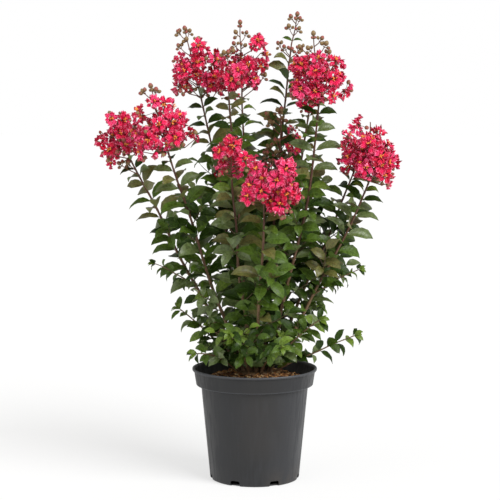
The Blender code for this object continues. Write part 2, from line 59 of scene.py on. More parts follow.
# Stem: tip of its leafy part, bow away from the axis, share of its length that is bare,
# top of its blossom spike from that tip, half-width of the head, share of it that is open
STEMS = {
    "outer_left": ((-0.247, 0.020, 0.638), 0.000, 0.24, (-0.042, 0.000, 0.096), 0.050, 1.0),
    "left": ((-0.167, -0.080, 0.657), 0.004, 0.26, (-0.034, 0.000, 0.130), 0.062, 1.0),
    "high_left": ((-0.109, 0.100, 0.762), -0.008, 0.20, (-0.034, 0.000, 0.144), 0.054, 1.0),
    "high_back": ((-0.026, 0.130, 0.756), 0.000, 0.20, (-0.004, 0.000, 0.164), 0.044, 1.0),
    "middle": ((-0.051, 0.020, 0.757), 0.000, 0.20, (-0.002, 0.000, 0.098), 0.036, 0.9),
    "front_left": ((-0.044, -0.120, 0.608), 0.010, 0.24, (-0.004, -0.006, 0.076), 0.040, 1.0),
    "front": ((0.017, -0.170, 0.564), 0.016, 0.24, (0.018, -0.014, 0.084), 0.060, 1.0),
    "tallest": ((0.071, 0.150, 0.834), 0.006, 0.20, (0.018, 0.000, 0.104), 0.010, 0.0),
    "inner_right": ((0.051, 0.050, 0.645), 0.000, 0.24, (0.002, 0.000, 0.098), 0.036, 0.6),
    "high_right": ((0.125, -0.040, 0.749), 0.018, 0.20, (-0.012, 0.000, 0.140), 0.060, 1.0),
    "back_right": ((0.112, 0.080, 0.741), 0.006, 0.20, (-0.016, 0.006, 0.104), 0.034, 0.8),
    "outer_right": ((0.224, -0.030, 0.596), 0.010, 0.24, (0.002, 0.000, 0.126), 0.062, 1.0),
    "low_right": ((0.203, 0.090, 0.612), 0.006, 0.26, (-0.008, 0.004, 0.066), 0.030, 0.8),
    "back": ((0.016, 0.200, 0.531), 0.014, 0.26, (-0.004, 0.014, 0.100), 0.048, 1.0),
    "back_left": ((-0.058, 0.185, 0.596), 0.010, 0.24, (-0.006, 0.010, 0.080), 0.038, 1.0),
}

# Clumps of flowers on the side that shows: sideways and upwards from the stem's tip, radius
CLUMPS = {
    "outer_left": (
        (-0.041, 0.081, 0.014), (-0.017, 0.079, 0.015), (-0.023, 0.052, 0.020), (-0.055, 0.042, 0.014),
        (-0.041, 0.018, 0.017), (-0.038, -0.006, 0.009), (-0.007, 0.054, 0.016), (-0.013, 0.026, 0.016),
    ),
    "left": (
        (-0.054, 0.073, 0.015), (-0.042, 0.027, 0.024), (-0.029, 0.096, 0.012), (-0.006, 0.094, 0.015),
        (0.013, 0.055, 0.023), (-0.019, 0.050, 0.017), (0.015, 0.025, 0.018), (0.042, 0.038, 0.011),
        (0.053, 0.025, 0.007), (-0.018, 0.002, 0.014), (-0.050, 0.000, 0.014), (-0.065, 0.046, 0.015),
    ),
    "high_left": (
        (-0.041, 0.077, 0.014), (-0.004, 0.103, 0.017), (-0.035, 0.052, 0.020), (-0.006, 0.070, 0.019),
        (0.029, 0.077, 0.019), (-0.002, 0.042, 0.016), (0.030, 0.036, 0.022), (-0.041, 0.022, 0.016),
    ),
    "high_back": (
        (0.031, 0.120, 0.018), (0.039, 0.098, 0.017), (0.039, 0.075, 0.014), (0.013, 0.073, 0.017),
        (0.021, 0.043, 0.018), (0.002, 0.051, 0.014),
    ),
    "middle": ((-0.002, 0.071, 0.015), (0.006, 0.041, 0.018), (0.016, 0.059, 0.014)),
    "front_left": (
        (0.001, 0.061, 0.019), (-0.022, 0.048, 0.015), (0.023, 0.036, 0.015), (-0.020, 0.019, 0.010),
        (-0.003, 0.073, 0.010),
    ),
    "front": (
        (-0.012, 0.061, 0.020), (0.039, 0.062, 0.021), (0.024, 0.039, 0.017), (-0.021, 0.035, 0.017),
        (-0.002, 0.024, 0.017), (-0.028, 0.015, 0.017), (0.045, 0.022, 0.021), (0.031, -0.006, 0.019),
        (-0.019, 0.080, 0.009), (0.060, 0.013, 0.010), (0.007, 0.047, 0.015),
    ),
    "inner_right": (
        (0.024, 0.052, 0.009), (0.036, 0.034, 0.010), (0.018, 0.016, 0.009), (0.032, 0.010, 0.008),
    ),
    "high_right": (
        (-0.035, 0.073, 0.020), (0.000, 0.087, 0.014), (-0.003, 0.061, 0.020), (0.031, 0.077, 0.016),
        (-0.039, 0.029, 0.020), (-0.006, 0.025, 0.019), (0.029, 0.048, 0.020), (0.049, 0.027, 0.014),
        (0.023, 0.019, 0.015), (-0.010, 0.008, 0.011),
    ),
    "outer_right": (
        (-0.018, 0.110, 0.016), (0.015, 0.093, 0.015), (0.033, 0.071, 0.013), (-0.042, 0.091, 0.012),
        (-0.049, 0.073, 0.010), (0.000, 0.073, 0.024), (-0.037, 0.048, 0.014), (0.022, 0.046, 0.026),
        (0.043, 0.036, 0.014), (-0.008, 0.026, 0.022), (0.030, 0.012, 0.018), (0.040, -0.003, 0.008),
    ),
}

# Groups of buds that show: sideways and upwards from the stem's tip
BUDS = {
    "outer_left": ((-0.020, -0.010), (-0.004, -0.010)),
    "left": ((-0.046, 0.113), (-0.023, 0.115)),
    "high_left": (
        (-0.044, 0.130), (-0.024, 0.132), (-0.028, 0.115), (-0.043, 0.102), (-0.008, 0.115), (0.008, 0.008),
        (-0.016, 0.014), (0.032, 0.013),
    ),
    "high_back": (
        (-0.010, 0.136), (0.008, 0.136), (-0.014, 0.113), (0.004, 0.110), (0.043, 0.061), (0.045, 0.049),
    ),
    "middle": ((-0.008, 0.089), (0.006, 0.093)),
    "tallest": (
        (0.006, 0.091), (0.021, 0.087), (0.001, 0.071), (0.019, 0.067), (-0.020, 0.037), (-0.008, 0.029),
        (0.005, 0.025), (0.021, 0.027),
    ),
    "inner_right": (
        (-0.024, 0.080), (-0.004, 0.088), (-0.018, 0.064), (0.004, 0.072), (-0.022, 0.016), (-0.008, 0.028),
        (-0.028, 0.002), (-0.006, 0.004), (-0.018, -0.014),
    ),
    "high_right": ((-0.035, 0.107), (-0.019, 0.104), (0.003, 0.123), (0.011, 0.112), (0.017, 0.096)),
    "back_right": ((-0.018, 0.090), (-0.004, 0.086), (-0.020, 0.066)),
}

# Low shoot: tip, bow upwards
SHOOTS = {
    "left": ((-0.150, 0.020, 0.338), 0.012),
    "near_left": ((-0.114, -0.070, 0.262), 0.012),
    "far_left": ((-0.112, 0.100, 0.312), 0.016),
    "front_left": ((-0.046, -0.136, 0.312), 0.020),
    "front_right": ((0.052, -0.138, 0.286), 0.018),
    "near_right": ((0.126, -0.084, 0.330), 0.014),
    "right": ((0.198, -0.018, 0.290), 0.002),
    "far_right": ((0.128, 0.100, 0.330), 0.014),
    "back_right": ((0.046, 0.146, 0.322), 0.016),
    "back_left": ((-0.036, 0.146, 0.296), 0.018),
}

# Long side twig: its stem, share of the stem's length where it starts, tip
SIDE_TWIGS = {
    "upper_right": ("outer_right", 0.42, (0.206, -0.030, 0.424)),
    "upper_left": ("outer_left", 0.40, (-0.200, 0.006, 0.432)),
}
SPRIGS = 13
GOLDEN = math.radians(137.5)
UP = np.array((0.0, 0.0, 1.0))

# Solids that the pieces stand for
BOUGHS = [f"bough_{name}" for name in STEMS]
MASSES = [f"leaves_{name}" for name in STEMS] + [f"shoot_{name}" for name in SHOOTS]
HEADS = [f"blossom_{name}" for name in STEMS]

# Camera: place, lens in millimetres, degrees that it looks down; and the point the lights aim at
EYE = np.array((-0.0093, -3.0, 0.7368))
LENS = 108.936
LOOK_DOWN = 5.278128
MIDDLE = Vector((0.0, 0.0, 0.4))

# Foot of a stem: share of its tip's distance from the middle, and height; and the same for a
# shoot, with its distance itself
FOOT_FAN, FOOT_HEIGHT = 0.12, 0.2150
SHOOT_FOOT, SHOOT_FOOT_HEIGHT = 0.034, 0.2140

# Root crown: radius, half its height, height of its middle
CROWN_RADIUS, CROWN_HEIGHT, CROWN_PLACE = 0.03854, 0.009, 0.2125

# Points along a limb, how far it wavers, its radii at foot and tip
LIMB_KINDS = {
    "spike": (30, 0.0012, 0.0018, 0.0010),
    "shoot": (40, 0.0016, 0.0021, 0.0010),
    "long side twig": (40, 0.0014, 0.0017, 0.0008),
    "sprig": (40, 0.0010, 0.0015, 0.0008),
    "side twig": (10, 0.0006, 0.00125, 0.0006),
}

# Straight start of a spike, step along a limb, length over which a stem's foot narrows
SPIKE_BEND, LIMB_STEP, FLARE_LENGTH = 0.006, 0.0035, 0.007

# Distances from the middle, and the soil's height there
SOIL_HEIGHTS = ((0.000, 0.048, 0.060, 0.082, 0.113), (0.2130, 0.2130, 0.2120, 0.2030, 0.1960))

# Radii along the stalks of a head
HEAD_STALK = np.array((0.0011, 0.0009, 0.0008))
BUD_STALK = np.array((0.0011, 0.0009, 0.0009))
FLANK_STALK = np.array((0.0008, 0.0007))
FINE_STALK = np.array((0.00062, 0.00050, 0.00058))

# Depth of a flower's cup, least gap inside a head, and share of a head open from which it is full
CUP_DEPTH, INNER_GAP, OPEN_HEAD = 0.0058, 0.012, 0.7

# A clump: how far its flowers sit inside its radius, their least way out, the radius from which
# one of them faces the front, and the height over the stem's tip under which buds hang from it
FLOWER_INSET, LEAST_WAY_OUT, WIDE_CLUMP, LOW_CLUMP = 0.0098, 0.0025, 0.0165, 0.035

# Least distances of a small bud from flowers and from other small buds
BUD_FLOWER_GAP, BUD_GAP = 0.0085, 0.0080

# Lowest places of a leaf's tip: over the rim, as far out as it reaches, and beside the pot; and
# of a leaf's middle. Least distances of leaves from other stems and from flowers
LEAF_OVER_RIM, RIM_REACH, LEAF_BESIDE_POT, LEAF_MIDDLE_LOW = 0.231, 0.137, 0.196, 0.226
WOOD_ROOM, FLOWER_ROOM, TIP_ROOM = 0.0045, 0.0135, 0.010

# Lowest tip of a side twig, and its least distance from flowers
TWIG_LOW, TWIG_FLOWER_ROOM = 0.240, 0.030

# Colours mixed into the underside of leaves, and into the crests of petals as a painted highlight
UNDERSIDE = (0.11, 0.15, 0.060)
HIGHLIGHT_PINK = (1.0, 0.44, 0.62)

LIMB_SEED, BLOOM_SEED, LEAF_SEED, PETAL_SEED, CHIP_SEED = 2024, 77, 512, 909, 41


# Settings


def length_setting(name, description, default):
    return FloatProperty(name=name, description=description, default=default, unit="LENGTH", min=0.0)


def colour_setting(name, description, default):
    return FloatVectorProperty(
        name=name, description=description, default=default, subtype="COLOR", size=3, min=0.0, max=1.0
    )


class MyrtlePotSettings(bpy.types.PropertyGroup):
    """Sizes and colours of the pot and its soil."""

    height: length_setting("Height", "Height of the pot", 0.224)
    rim_radius: length_setting("Rim radius", "Radius of the rolled lip", 0.125)
    shoulder_radius: length_setting("Shoulder radius", "Radius just under the collar", 0.1072)
    foot_radius: length_setting("Foot radius", "Radius of the foot", 0.0895)
    collar_height: length_setting("Collar height", "Height of the collar and its lip", 0.034)
    wall: length_setting("Wall", "Thickness of the plastic", 0.0022)
    notches: IntProperty(name="Notches", description="Drain notches round the foot", default=7, min=1)
    chips: IntProperty(name="Bark chips", description="Pieces of bark on the soil", default=1700, min=0)
    plastic: colour_setting("Plastic", "Colour of the pot", (0.0108, 0.0114, 0.0130))
    stain: colour_setting("Stain", "Colour of the water stain at the foot", (0.070, 0.054, 0.038))
    soil: colour_setting("Soil", "Colour of the fine soil", (0.125, 0.058, 0.018))


class MyrtlePlantSettings(bpy.types.PropertyGroup):
    """Sizes and colours of the stems and leaves."""

    leaf_low: length_setting("Low leaf", "Length of a leaf low on a stem", 0.042)
    leaf_middle: length_setting("Middle leaf", "Length of the largest leaves", 0.058)
    leaf_high: length_setting("High leaf", "Length of a leaf under the blossom", 0.034)
    shoot_leaf: length_setting("Shoot leaf", "Length of a leaf on a low shoot", 0.044)
    leaf_width: FloatProperty(
        name="Leaf width", description="Width of a leaf as a share of its length", default=0.455,
        subtype="FACTOR", min=0.1, max=1.0,
    )
    joint_step: length_setting("Joint step", "Distance between pairs of leaves", 0.0180)
    foot_thickness: length_setting("Stem foot", "Radius of a stem at the soil", 0.0036)
    tip_thickness: length_setting("Stem tip", "Radius of a stem under its blossom", 0.0017)
    # Deep leaves: a darker green, painted shade, dealt mostly to leaves inside the shrub
    deep: colour_setting("Deep leaf", "Leaves inside the shrub", (0.021, 0.046, 0.004))
    middle: colour_setting("Green leaf", "Most leaves", (0.064, 0.116, 0.011))
    fresh: colour_setting("Fresh leaf", "Young leaves low in front", (0.116, 0.186, 0.020))
    bronze: colour_setting("Bronze leaf", "Leaves high on the stems", (0.118, 0.122, 0.030))
    # Grey leaves: a lighter grey-green with more gloss, partly painted sheen, dealt at random
    grey: colour_setting("Grey leaf", "Leaves with a grey-green bloom", (0.104, 0.146, 0.040))
    old_bark: colour_setting("Low bark", "Bark low on the stems", (0.200, 0.120, 0.058))
    young_bark: colour_setting("High bark", "Bark high on the stems", (0.098, 0.036, 0.020))


class MyrtleBlossomSettings(bpy.types.PropertyGroup):
    """Sizes and colours of the flowers and buds."""

    floret_radius: length_setting("Flower radius", "Radius of an open flower", 0.0190)
    floret_gap: length_setting("Flower spacing", "Least distance between flowers of a head", 0.0136)
    bud_length: length_setting("Bud length", "Length of a bud", 0.0108)
    bright: colour_setting("Bright petal", "Most petals", (0.950, 0.009, 0.118))
    # Deep petals: a darker copy, painted shade, dealt mostly to flowers inside a head
    deep: colour_setting("Deep petal", "Petals inside a head", (0.540, 0.004, 0.034))
    # Rose petals: a lighter copy of the bright petals, dealt at random as painted light
    rose: colour_setting("Rose petal", "Petals that turn to the light", (1.000, 0.050, 0.215))
    crimson: colour_setting("Crimson petal", "Older petals", (0.800, 0.006, 0.060))
    stamen: colour_setting("Stamens", "Yellow tufts", (0.960, 0.370, 0.070))
    calyx: colour_setting("Calyx", "Cup under each flower", (0.160, 0.055, 0.030))
    bud_green: colour_setting("Bud foot", "Lower part of a bud", (0.235, 0.150, 0.062))
    bud_red: colour_setting("Bud tip", "Upper part of a bud", (0.370, 0.082, 0.070))


class MyrtleStageSettings(bpy.types.PropertyGroup):
    """Light of the studio."""

    key: FloatProperty(name="Key light", description="Strength of the soft key light", default=2.85, min=0.0)
    fill: FloatProperty(name="Fill light", description="Strength of the fill light", default=0.55, min=0.0)
    room: FloatProperty(name="Room light", description="Strength of the white room", default=0.39, min=0.0)


# Materials


class Value:
    """What a node gives out. Sums, products and comparisons of it make further nodes."""

    def __init__(self, finish, socket):
        self.finish, self.socket = finish, socket

    def __add__(self, other):
        return self.finish.math("ADD", self, other)

    def __sub__(self, other):
        return self.finish.math("SUBTRACT", self, other)

    def __mul__(self, other):
        return self.finish.math("MULTIPLY", self, other)

    def __truediv__(self, other):
        return self.finish.math("DIVIDE", self, other)

    def __pow__(self, other):
        return self.finish.math("POWER", self, other)

    def __lt__(self, other):
        return self.finish.math("LESS_THAN", self, other)

    def __gt__(self, other):
        return self.finish.math("GREATER_THAN", self, other)

    def __abs__(self):
        return self.finish.math("ABSOLUTE", self)


class Finish:
    """One material, with short names for the nodes it is built from."""

    def __init__(self, name, roughness, gloss=0.5):
        self.material = bpy.data.materials.new(name)
        self.material.use_nodes = True
        self.tree = self.material.node_tree
        self.shader = self.tree.nodes["Principled BSDF"]
        self.give("Roughness", roughness)
        self.give("Specular IOR Level", gloss)

    def feed(self, socket, value):
        if isinstance(value, Value):
            self.tree.links.new(value.socket, socket)
        elif hasattr(value, "__len__"):
            socket.default_value = (*value, 1.0)[:len(socket.default_value)]
        else:
            socket.default_value = value

    def give(self, name, value):
        """Feed the surface itself."""
        self.feed(self.shader.inputs[name], value)

    def node(self, kind, feeds, output=0, **settings):
        """What a new node gives out, once it is set and fed."""
        node = self.tree.nodes.new("ShaderNode" + kind)
        for key, value in settings.items():
            setattr(node, key, value)
        for key, value in feeds.items():
            self.feed(node.inputs[key], value)
        return Value(self, node.outputs[output])

    def place(self):
        return self.node("TexCoord", {}, "Object")

    def parts(self, vector, count=3):
        """The numbers of a vector."""
        return [self.node("SeparateXYZ", {0: vector}, axis) for axis in range(count)]

    def own_map(self):
        """The piece's own UV map, its two numbers."""
        return self.parts(self.node("UVMap", {}, "UV", uv_map=UV_NAME), 2)

    def point(self, *numbers):
        return self.node("CombineXYZ", dict(enumerate(numbers)))

    def stretch(self, place, scale):
        return self.node("Mapping", {"Vector": place, "Scale": scale})

    def math(self, operation, *values):
        return self.node("Math", dict(enumerate(values)), operation=operation)

    def band(self, value, *levels):
        """A smooth step of a value from one level to another, to 0 and 1 or two further levels."""
        return self.node("MapRange", dict(enumerate((value, *levels))), interpolation_type="SMOOTHSTEP")

    def noise(self, place, scale, detail, roughness=0.55):
        feeds = {"Vector": place, "Scale": scale, "Detail": detail, "Roughness": roughness}
        return self.node("TexNoise", feeds, "Fac")

    def mix(self, share, one, other):
        return self.node("Mix", {0: share, 6: one, 7: other}, 2, data_type="RGBA")

    def coat(self, tone, *coats):
        """Colour the surface: a tone, under colours that each cover a share of it."""
        for share, colour in coats:
            tone = self.mix(share, tone, colour)
        self.give("Base Color", tone)

    def bump(self, height, distance, strength):
        feeds = {"Height": height, "Distance": distance, "Strength": strength}
        self.give("Normal", self.node("Bump", feeds))


def shade(colour, amount):
    """The same colour, lighter or darker."""
    return tuple(min(1.0, channel * amount) for channel in colour)


def blended(one, other, share):
    """A colour between two others."""
    return tuple((1 - share) * a + share * b for a, b in zip(one, other))


def plastic_finish(pot):
    """Moulded dark plastic with fine grain, dust streaks and a water stain at the foot, painted light on its
    right side, painted highlights on lip and ledge, and painted shade at the collar.
    """
    plastic, top, collar = pot.plastic, pot.height, pot.height - pot.collar_height
    finish = Finish("pot_plastic", 0.5)
    place = finish.place()
    x, y, z = finish.parts(place)
    grain = finish.noise(place, 900.0, 2.0)
    clouds = finish.noise(place, 14.0, 4.0)
    streaks = finish.noise(finish.stretch(place, (150.0, 150.0, 7.0)), 1.0, 4.0)
    patches = finish.noise(finish.stretch(place, (30.0, 30.0, 12.0)), 1.0, 3.0)

    band = finish.band
    dust = band(streaks, 0.44, 0.62) * 0.50
    # Painted light: the right side, towards the key light, lighter
    lit_side = band(x, 0.005, 0.100) * 0.85
    scuffed = band(x, -0.055, 0.0) * band(x, 0.075, 0.010) * band(z, 0.030, 0.085) * 0.35
    shaded = band(z, collar, collar + 0.004) * 0.50
    # Painted highlights: a thin light line along the lip and one along the ledge under the collar
    lip = band(z, top - 0.0055, top - 0.0015)
    ledge_highlight = band(z, collar - 0.0016, collar - 0.0002) * band(z, collar + 0.0022, collar + 0.0008)
    soiled = band(z, 0.050, 0.004) * band(x, -0.010, 0.060) * band(patches, 0.42, 0.62) * 0.28
    # A cone that widens upwards parts the inner side of the collar from its outer side
    cone = (z - (collar + 0.0042)) * 0.1807 + 0.1161
    inner_side = ((x * x + y * y) ** 0.5 < cone) * (z < top - 0.0035)
    unlit = inner_side * band(z, collar - 0.001, collar + 0.003) * 0.72
    finish.coat(
        finish.mix(band(clouds, 0.35, 0.70), shade(plastic, 0.80), shade(plastic, 1.14)),
        (dust, shade(plastic, 2.3)),
        (lit_side, shade(plastic, 2.5)),
        (scuffed, blended(plastic, pot.stain, 0.3)),
        (shaded, shade(plastic, 0.4)),
        ((lip + ledge_highlight) * 0.70, shade(plastic, 6.0)),
        (soiled, pot.stain),
        (unlit, shade(plastic, 0.15)),
    )
    finish.give("Roughness", band(clouds + dust, 0.3, 1.0, 0.40, 0.60))
    finish.bump(grain + streaks * 0.9, 0.00014, 0.7)
    return finish.material


def soil_finish(soil):
    """Fine dark soil in crumbs, damp in places."""
    finish = Finish("soil_fine", 0.95)
    place = finish.place()
    crumbs = finish.noise(place, 240.0, 5.0, 0.7)
    damp = finish.band(finish.noise(place, 30.0, 2.0), 0.45, 0.7) * 0.5
    tone = finish.mix(finish.band(crumbs, 0.35, 0.65), shade(soil, 0.45), shade(soil, 2.0))
    finish.coat(tone, (damp, shade(soil, 0.5)))
    finish.bump(crumbs, 0.0016, 1.0)
    return finish.material


def chip_finish(name, colour):
    """A bark chip: fibres along its own map."""
    finish = Finish(name, 0.9)
    across, along = finish.own_map()
    fibres = finish.noise(finish.point(across * 9.0, along), 1.6, 4.0)
    finish.coat(finish.mix(finish.band(fibres, 0.35, 0.65), shade(colour, 0.55), shade(colour, 1.35)))
    finish.bump(fibres, 0.0005, 0.8)
    return finish.material


def bark_finish(name, plant, low, high):
    """Thin bark, tan and flaking up to a low height and red-brown on young wood above a high one."""
    finish = Finish(name, 0.62)
    place = finish.place()
    patches = finish.noise(place, 55.0, 3.0)
    fibres = finish.noise(finish.stretch(place, (700.0, 700.0, 70.0)), 1.0, 3.0)
    specks = finish.noise(place, 620.0, 1.0)
    age = finish.parts(place)[2] + patches * 0.12
    finish.coat(
        finish.mix(finish.band(age, low + 0.06, high + 0.06), plant.old_bark, plant.young_bark),
        (finish.band(fibres, 0.40, 0.65) * 0.45, shade(plant.young_bark, 0.42)),
        (finish.band(specks, 0.66, 0.74) * 0.55, shade(plant.old_bark, 1.7)),
    )
    finish.give("Roughness", finish.band(patches, 0.3, 0.7, 0.50, 0.74))
    finish.bump(fibres + patches, 0.0004, 0.8)
    return finish.material


def leaf_finish(name, colour, glow, gloss):
    """A glossy blade: rib, side veins, mottling and edge above, paler and duller beneath."""
    finish = Finish(name, 0.42, gloss)
    along, side = finish.own_map()
    under = side > 0.5
    across = abs(finish.math("FRACT", side * 2.0) - 0.5) / 0.46
    rib = finish.band(across, 0.075, 0.020)
    rows = finish.math("FRACT", along * 8.0 - across**0.8 * 1.5)
    veins = finish.band(abs(rows - 0.5), 0.40, 0.50)
    mottle = finish.noise(finish.point(along * 2.0, side), 4.0, 4.0)
    rib_colour = blended(shade(colour, 2.2), glow, 0.5)
    pale = blended([channel * 2.1 for channel in colour], UNDERSIDE, 0.38)
    finish.coat(
        finish.mix(finish.band(mottle, 0.32, 0.68), shade(colour, 0.70), shade(colour, 1.28)),
        (veins * 0.30, rib_colour),
        (rib * 0.75, rib_colour),
        (finish.band(across, 0.84, 1.0) * 0.35, glow),
        (under * 0.85, pale),
    )
    finish.give("Roughness", finish.band(mottle, 0.3, 0.7, 0.27, 0.42) + under * 0.24)
    finish.bump(veins * -0.5 + rib * -1.0 + mottle * 0.5, 0.0006, 0.7)
    return finish.material


def petal_finish(name, colour, petal_shade):
    """A crinkled petal: darker at its claw, veined, with painted shade in the hollows of its folds and a
    painted highlight of paler pink on their crests.
    """
    finish = Finish(name, 0.55, 0.25)
    across, along = finish.own_map()
    folds = finish.noise(finish.point(across * 2.4, along * 1.2), 2.6, 4.0)
    # Painted highlight: a paler pink on the crests of the folds and towards the edge
    crest_highlight = finish.band(folds + finish.band(along, 0.55, 0.95, 0.0, 0.14), 0.56, 0.73, 0.0, 0.92)
    claw = finish.band(along, 0.46, 0.16) * 0.7
    # Painted shade: the hollows of the folds darker
    tone = finish.mix(finish.band(folds, 0.36, 0.58), shade(petal_shade, 0.9), shade(colour, 1.04))
    finish.coat(tone, (crest_highlight, blended(colour, HIGHLIGHT_PINK, 0.6)), (claw, petal_shade))
    finish.bump(folds, 0.0012, 0.8)
    return finish.material


def bud_finish(name, foot, tip):
    """A ribbed bud, green at its foot and reddish at its tip."""
    finish = Finish(name, 0.5)
    around, along = finish.own_map()
    ribs = abs(finish.math("SINE", around * (math.pi * 6)))
    spots = finish.noise(finish.point(around, along), 7.0, 3.0)
    tone = finish.mix(finish.band(along + spots * 0.5, 0.45, 1.15), foot, tip)
    finish.coat(tone, (finish.band(ribs, 0.25, 0.0, 0.0, 0.5), shade(tip, 0.5)))
    finish.bump(ribs, 0.0004, 0.6)
    return finish.material


def plain_finish(name, colour, roughness):
    """The colour of something a millimetre thick, too fine for a pattern."""
    finish = Finish(name, roughness)
    finish.coat(colour)
    return finish.material


# Pieces


def keep(name, mesh, material, nodes):
    """Make the piece, let it ride with the plant and stand for its solids."""
    mesh.materials.clear()
    mesh.materials.append(material)
    piece = bpy.data.objects.new(name, mesh)
    bpy.context.scene.collection.objects.link(piece)
    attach(piece, "root")
    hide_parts(*nodes)
    return piece


def mesh_of(name, work, sharp=math.radians(32)):
    """A finished mesh from a bmesh, smooth but for its real corners."""
    bmesh.ops.remove_doubles(work, verts=work.verts, dist=1e-6)
    bmesh.ops.recalc_face_normals(work, faces=work.faces)
    for face in work.faces:
        face.smooth = True
    for edge in work.edges:
        edge.smooth = not (len(edge.link_faces) == 2 and edge.calc_face_angle() > sharp)
    mesh = bpy.data.meshes.new(name)
    work.to_mesh(mesh)
    work.free()
    return mesh


def mesh_of_many(name, points, *shapes, smooth=True):
    """One mesh of many like bodies: the points of each, then its faces, each kind with its map if any."""
    points = points.reshape(len(points), -1, 3)
    count, each, _ = points.shape
    starts = each * np.arange(count)[:, None, None]
    faces, places = [], []
    for one_kind, *maps in shapes:
        faces += (starts + np.array(one_kind)).reshape(-1, len(one_kind[0])).tolist()
        places += [np.tile(np.reshape(own_map, (-1, 2)), (count, 1)) for own_map in maps]
    mesh = bpy.data.meshes.new(name)
    mesh.from_pydata(points.reshape(-1, 3), [], faces)
    if smooth:
        mesh.shade_smooth()
    if places:
        layer = mesh.uv_layers.new(name=UV_NAME)
        layer.data.foreach_set("uv", np.concatenate(places).astype(np.float32).ravel())
    mesh.validate()
    return mesh


def ring_faces(rings, sides):
    """Faces between rings of points that follow each other."""
    return [
        (low + k, low + (k + 1) % sides, low + sides + (k + 1) % sides, low + sides + k)
        for low in range(0, (rings - 1) * sides, sides) for k in range(sides)
    ]


def fields(records):
    """The fields of many records, each as one array."""
    return [np.array(field) for field in zip(*records)]


def unit(vectors):
    vectors = np.asarray(vectors, float)
    return vectors / np.maximum(np.linalg.norm(vectors, axis=-1, keepdims=True), 1e-12)


def square_to(vectors, axes):
    """What is left of these vectors square to the axes, at unit length."""
    return unit(vectors - axes * np.sum(vectors * axes, axis=-1, keepdims=True))


def turned(vector, axis, angle):
    """A vector turned about a unit axis that it may not be square to."""
    along = axis * np.dot(vector, axis)
    rest = vector - along
    return along + rest * math.cos(angle) + np.cross(axis, rest) * math.sin(angle)


def level_to(heading):
    """A level unit vector square to a heading."""
    return unit(np.cross(UP, heading) + 1e-6)


def round_about(headings):
    """Two unit vectors square to each heading and to each other."""
    level = np.where(np.abs(headings[:, 2:]) > 0.95, (1.0, 0.0, 0.0), (0.0, 0.0, 1.0))
    side = square_to(level, headings)
    return side, np.cross(headings, side)


def spokes(headings, angles):
    """Unit vectors square to each heading, at these angles round it."""
    side, other = round_about(headings)
    return side[:, None] * np.cos(angles)[:, None] + other[:, None] * np.sin(angles)[:, None]


def nearest(points, place):
    """Distance from a place to the nearest of some points."""
    if not len(points):
        return math.inf
    return np.linalg.norm(np.asarray(points) - place, axis=1).min()


def rods(name, paths, sides_level, relief=0.0, relief_scale=90.0):
    """Round limbs along these paths, each a pair of points and radii, as one mesh."""
    curve = bpy.data.curves.new(name, "CURVE")
    curve.dimensions = "3D"
    curve.bevel_depth = 1.0
    curve.bevel_resolution = sides_level
    curve.use_fill_caps = True
    for points, radii in paths:
        spline = curve.splines.new("POLY")
        spline.points.add(len(points) - 1)
        spline.points.foreach_set("co", np.hstack((points, np.ones((len(points), 1)))).ravel())
        spline.points.foreach_set("radius", np.broadcast_to(radii, len(points)).astype(float))
    holder = bpy.data.objects.new(name, curve)
    bpy.context.scene.collection.objects.link(holder)
    graph = bpy.context.evaluated_depsgraph_get()
    mesh = bpy.data.meshes.new_from_object(holder.evaluated_get(graph))
    bpy.data.objects.remove(holder, do_unlink=True)
    bpy.data.curves.remove(curve)
    work = bmesh.new()
    work.from_mesh(mesh)
    bpy.data.meshes.remove(mesh)
    if relief:
        work.normal_update()
        for corner in work.verts:
            rough = noise.noise(corner.co * relief_scale) + 0.5 * noise.noise(corner.co * relief_scale * 3)
            corner.co += corner.normal * relief * rough
    return mesh_of(name, work, math.radians(60))


# Pot and soil


def pot_outline(pot):
    """Half of the pot's section: from the middle of its floor over the lip to its foot."""
    top, wall = pot.height, pot.wall
    rim, shoulder, foot = pot.rim_radius, pot.shoulder_radius, pot.foot_radius
    collar = top - pot.collar_height
    neck, brow = shoulder + 0.0100, rim - 0.0035
    inside = [
        (0.0, 0.003), (foot - wall - 0.003, 0.003), (foot - wall - 0.0008, 0.0038), (foot - wall, 0.0062),
        (shoulder - wall, collar + 0.0014), (shoulder - wall + 0.0010, collar + 0.0026),
        (neck - wall - 0.0010, collar + 0.0030), (neck - wall, collar + 0.0042),
        (brow - wall, top - 0.0060), (brow - wall + 0.0005, top - 0.0022), (brow - 0.0006, top - 0.0005),
    ]
    lip = [
        (rim - 0.0018, top), (rim - 0.0007, top - 0.0004), (rim - 0.0001, top - 0.0014),
        (rim, top - 0.0028), (rim - 0.0002, top - 0.0042), (rim - 0.0010, top - 0.0052),
        (rim - 0.0026, top - 0.0056), (brow - 0.0001, top - 0.0062),
    ]
    outside = [
        (neck + 0.0001, collar + 0.0022), (neck - 0.0001, collar + 0.0009), (neck - 0.0008, collar + 0.0003),
        (neck - 0.0016, collar), (shoulder + 0.0014, collar - 0.0002), (shoulder, collar - 0.0014),
        (foot + 0.0002, 0.0052), (foot - 0.0002, 0.0030), (foot - 0.0012, 0.0011), (foot - 0.0030, 0.0002),
        (foot - 0.0044, 0.0), (foot - 0.0100, 0.0), (foot - 0.0116, 0.0010), (0.0, 0.0010),
    ]
    return inside + lip + outside


def spun(outline, steps):
    """A round body from half its section, whose ends lie on the axis."""
    work = bmesh.new()
    corners = [work.verts.new((radius, 0.0, height)) for radius, height in outline]
    edges = [work.edges.new(pair) for pair in zip(corners, corners[1:])]
    bmesh.ops.spin(
        work, geom=corners + edges, cent=(0, 0, 0), axis=(0, 0, 1), dvec=(0, 0, 0),
        angle=math.tau, steps=steps, use_merge=True,
    )
    bmesh.ops.remove_doubles(work, verts=work.verts, dist=1e-6)
    return work


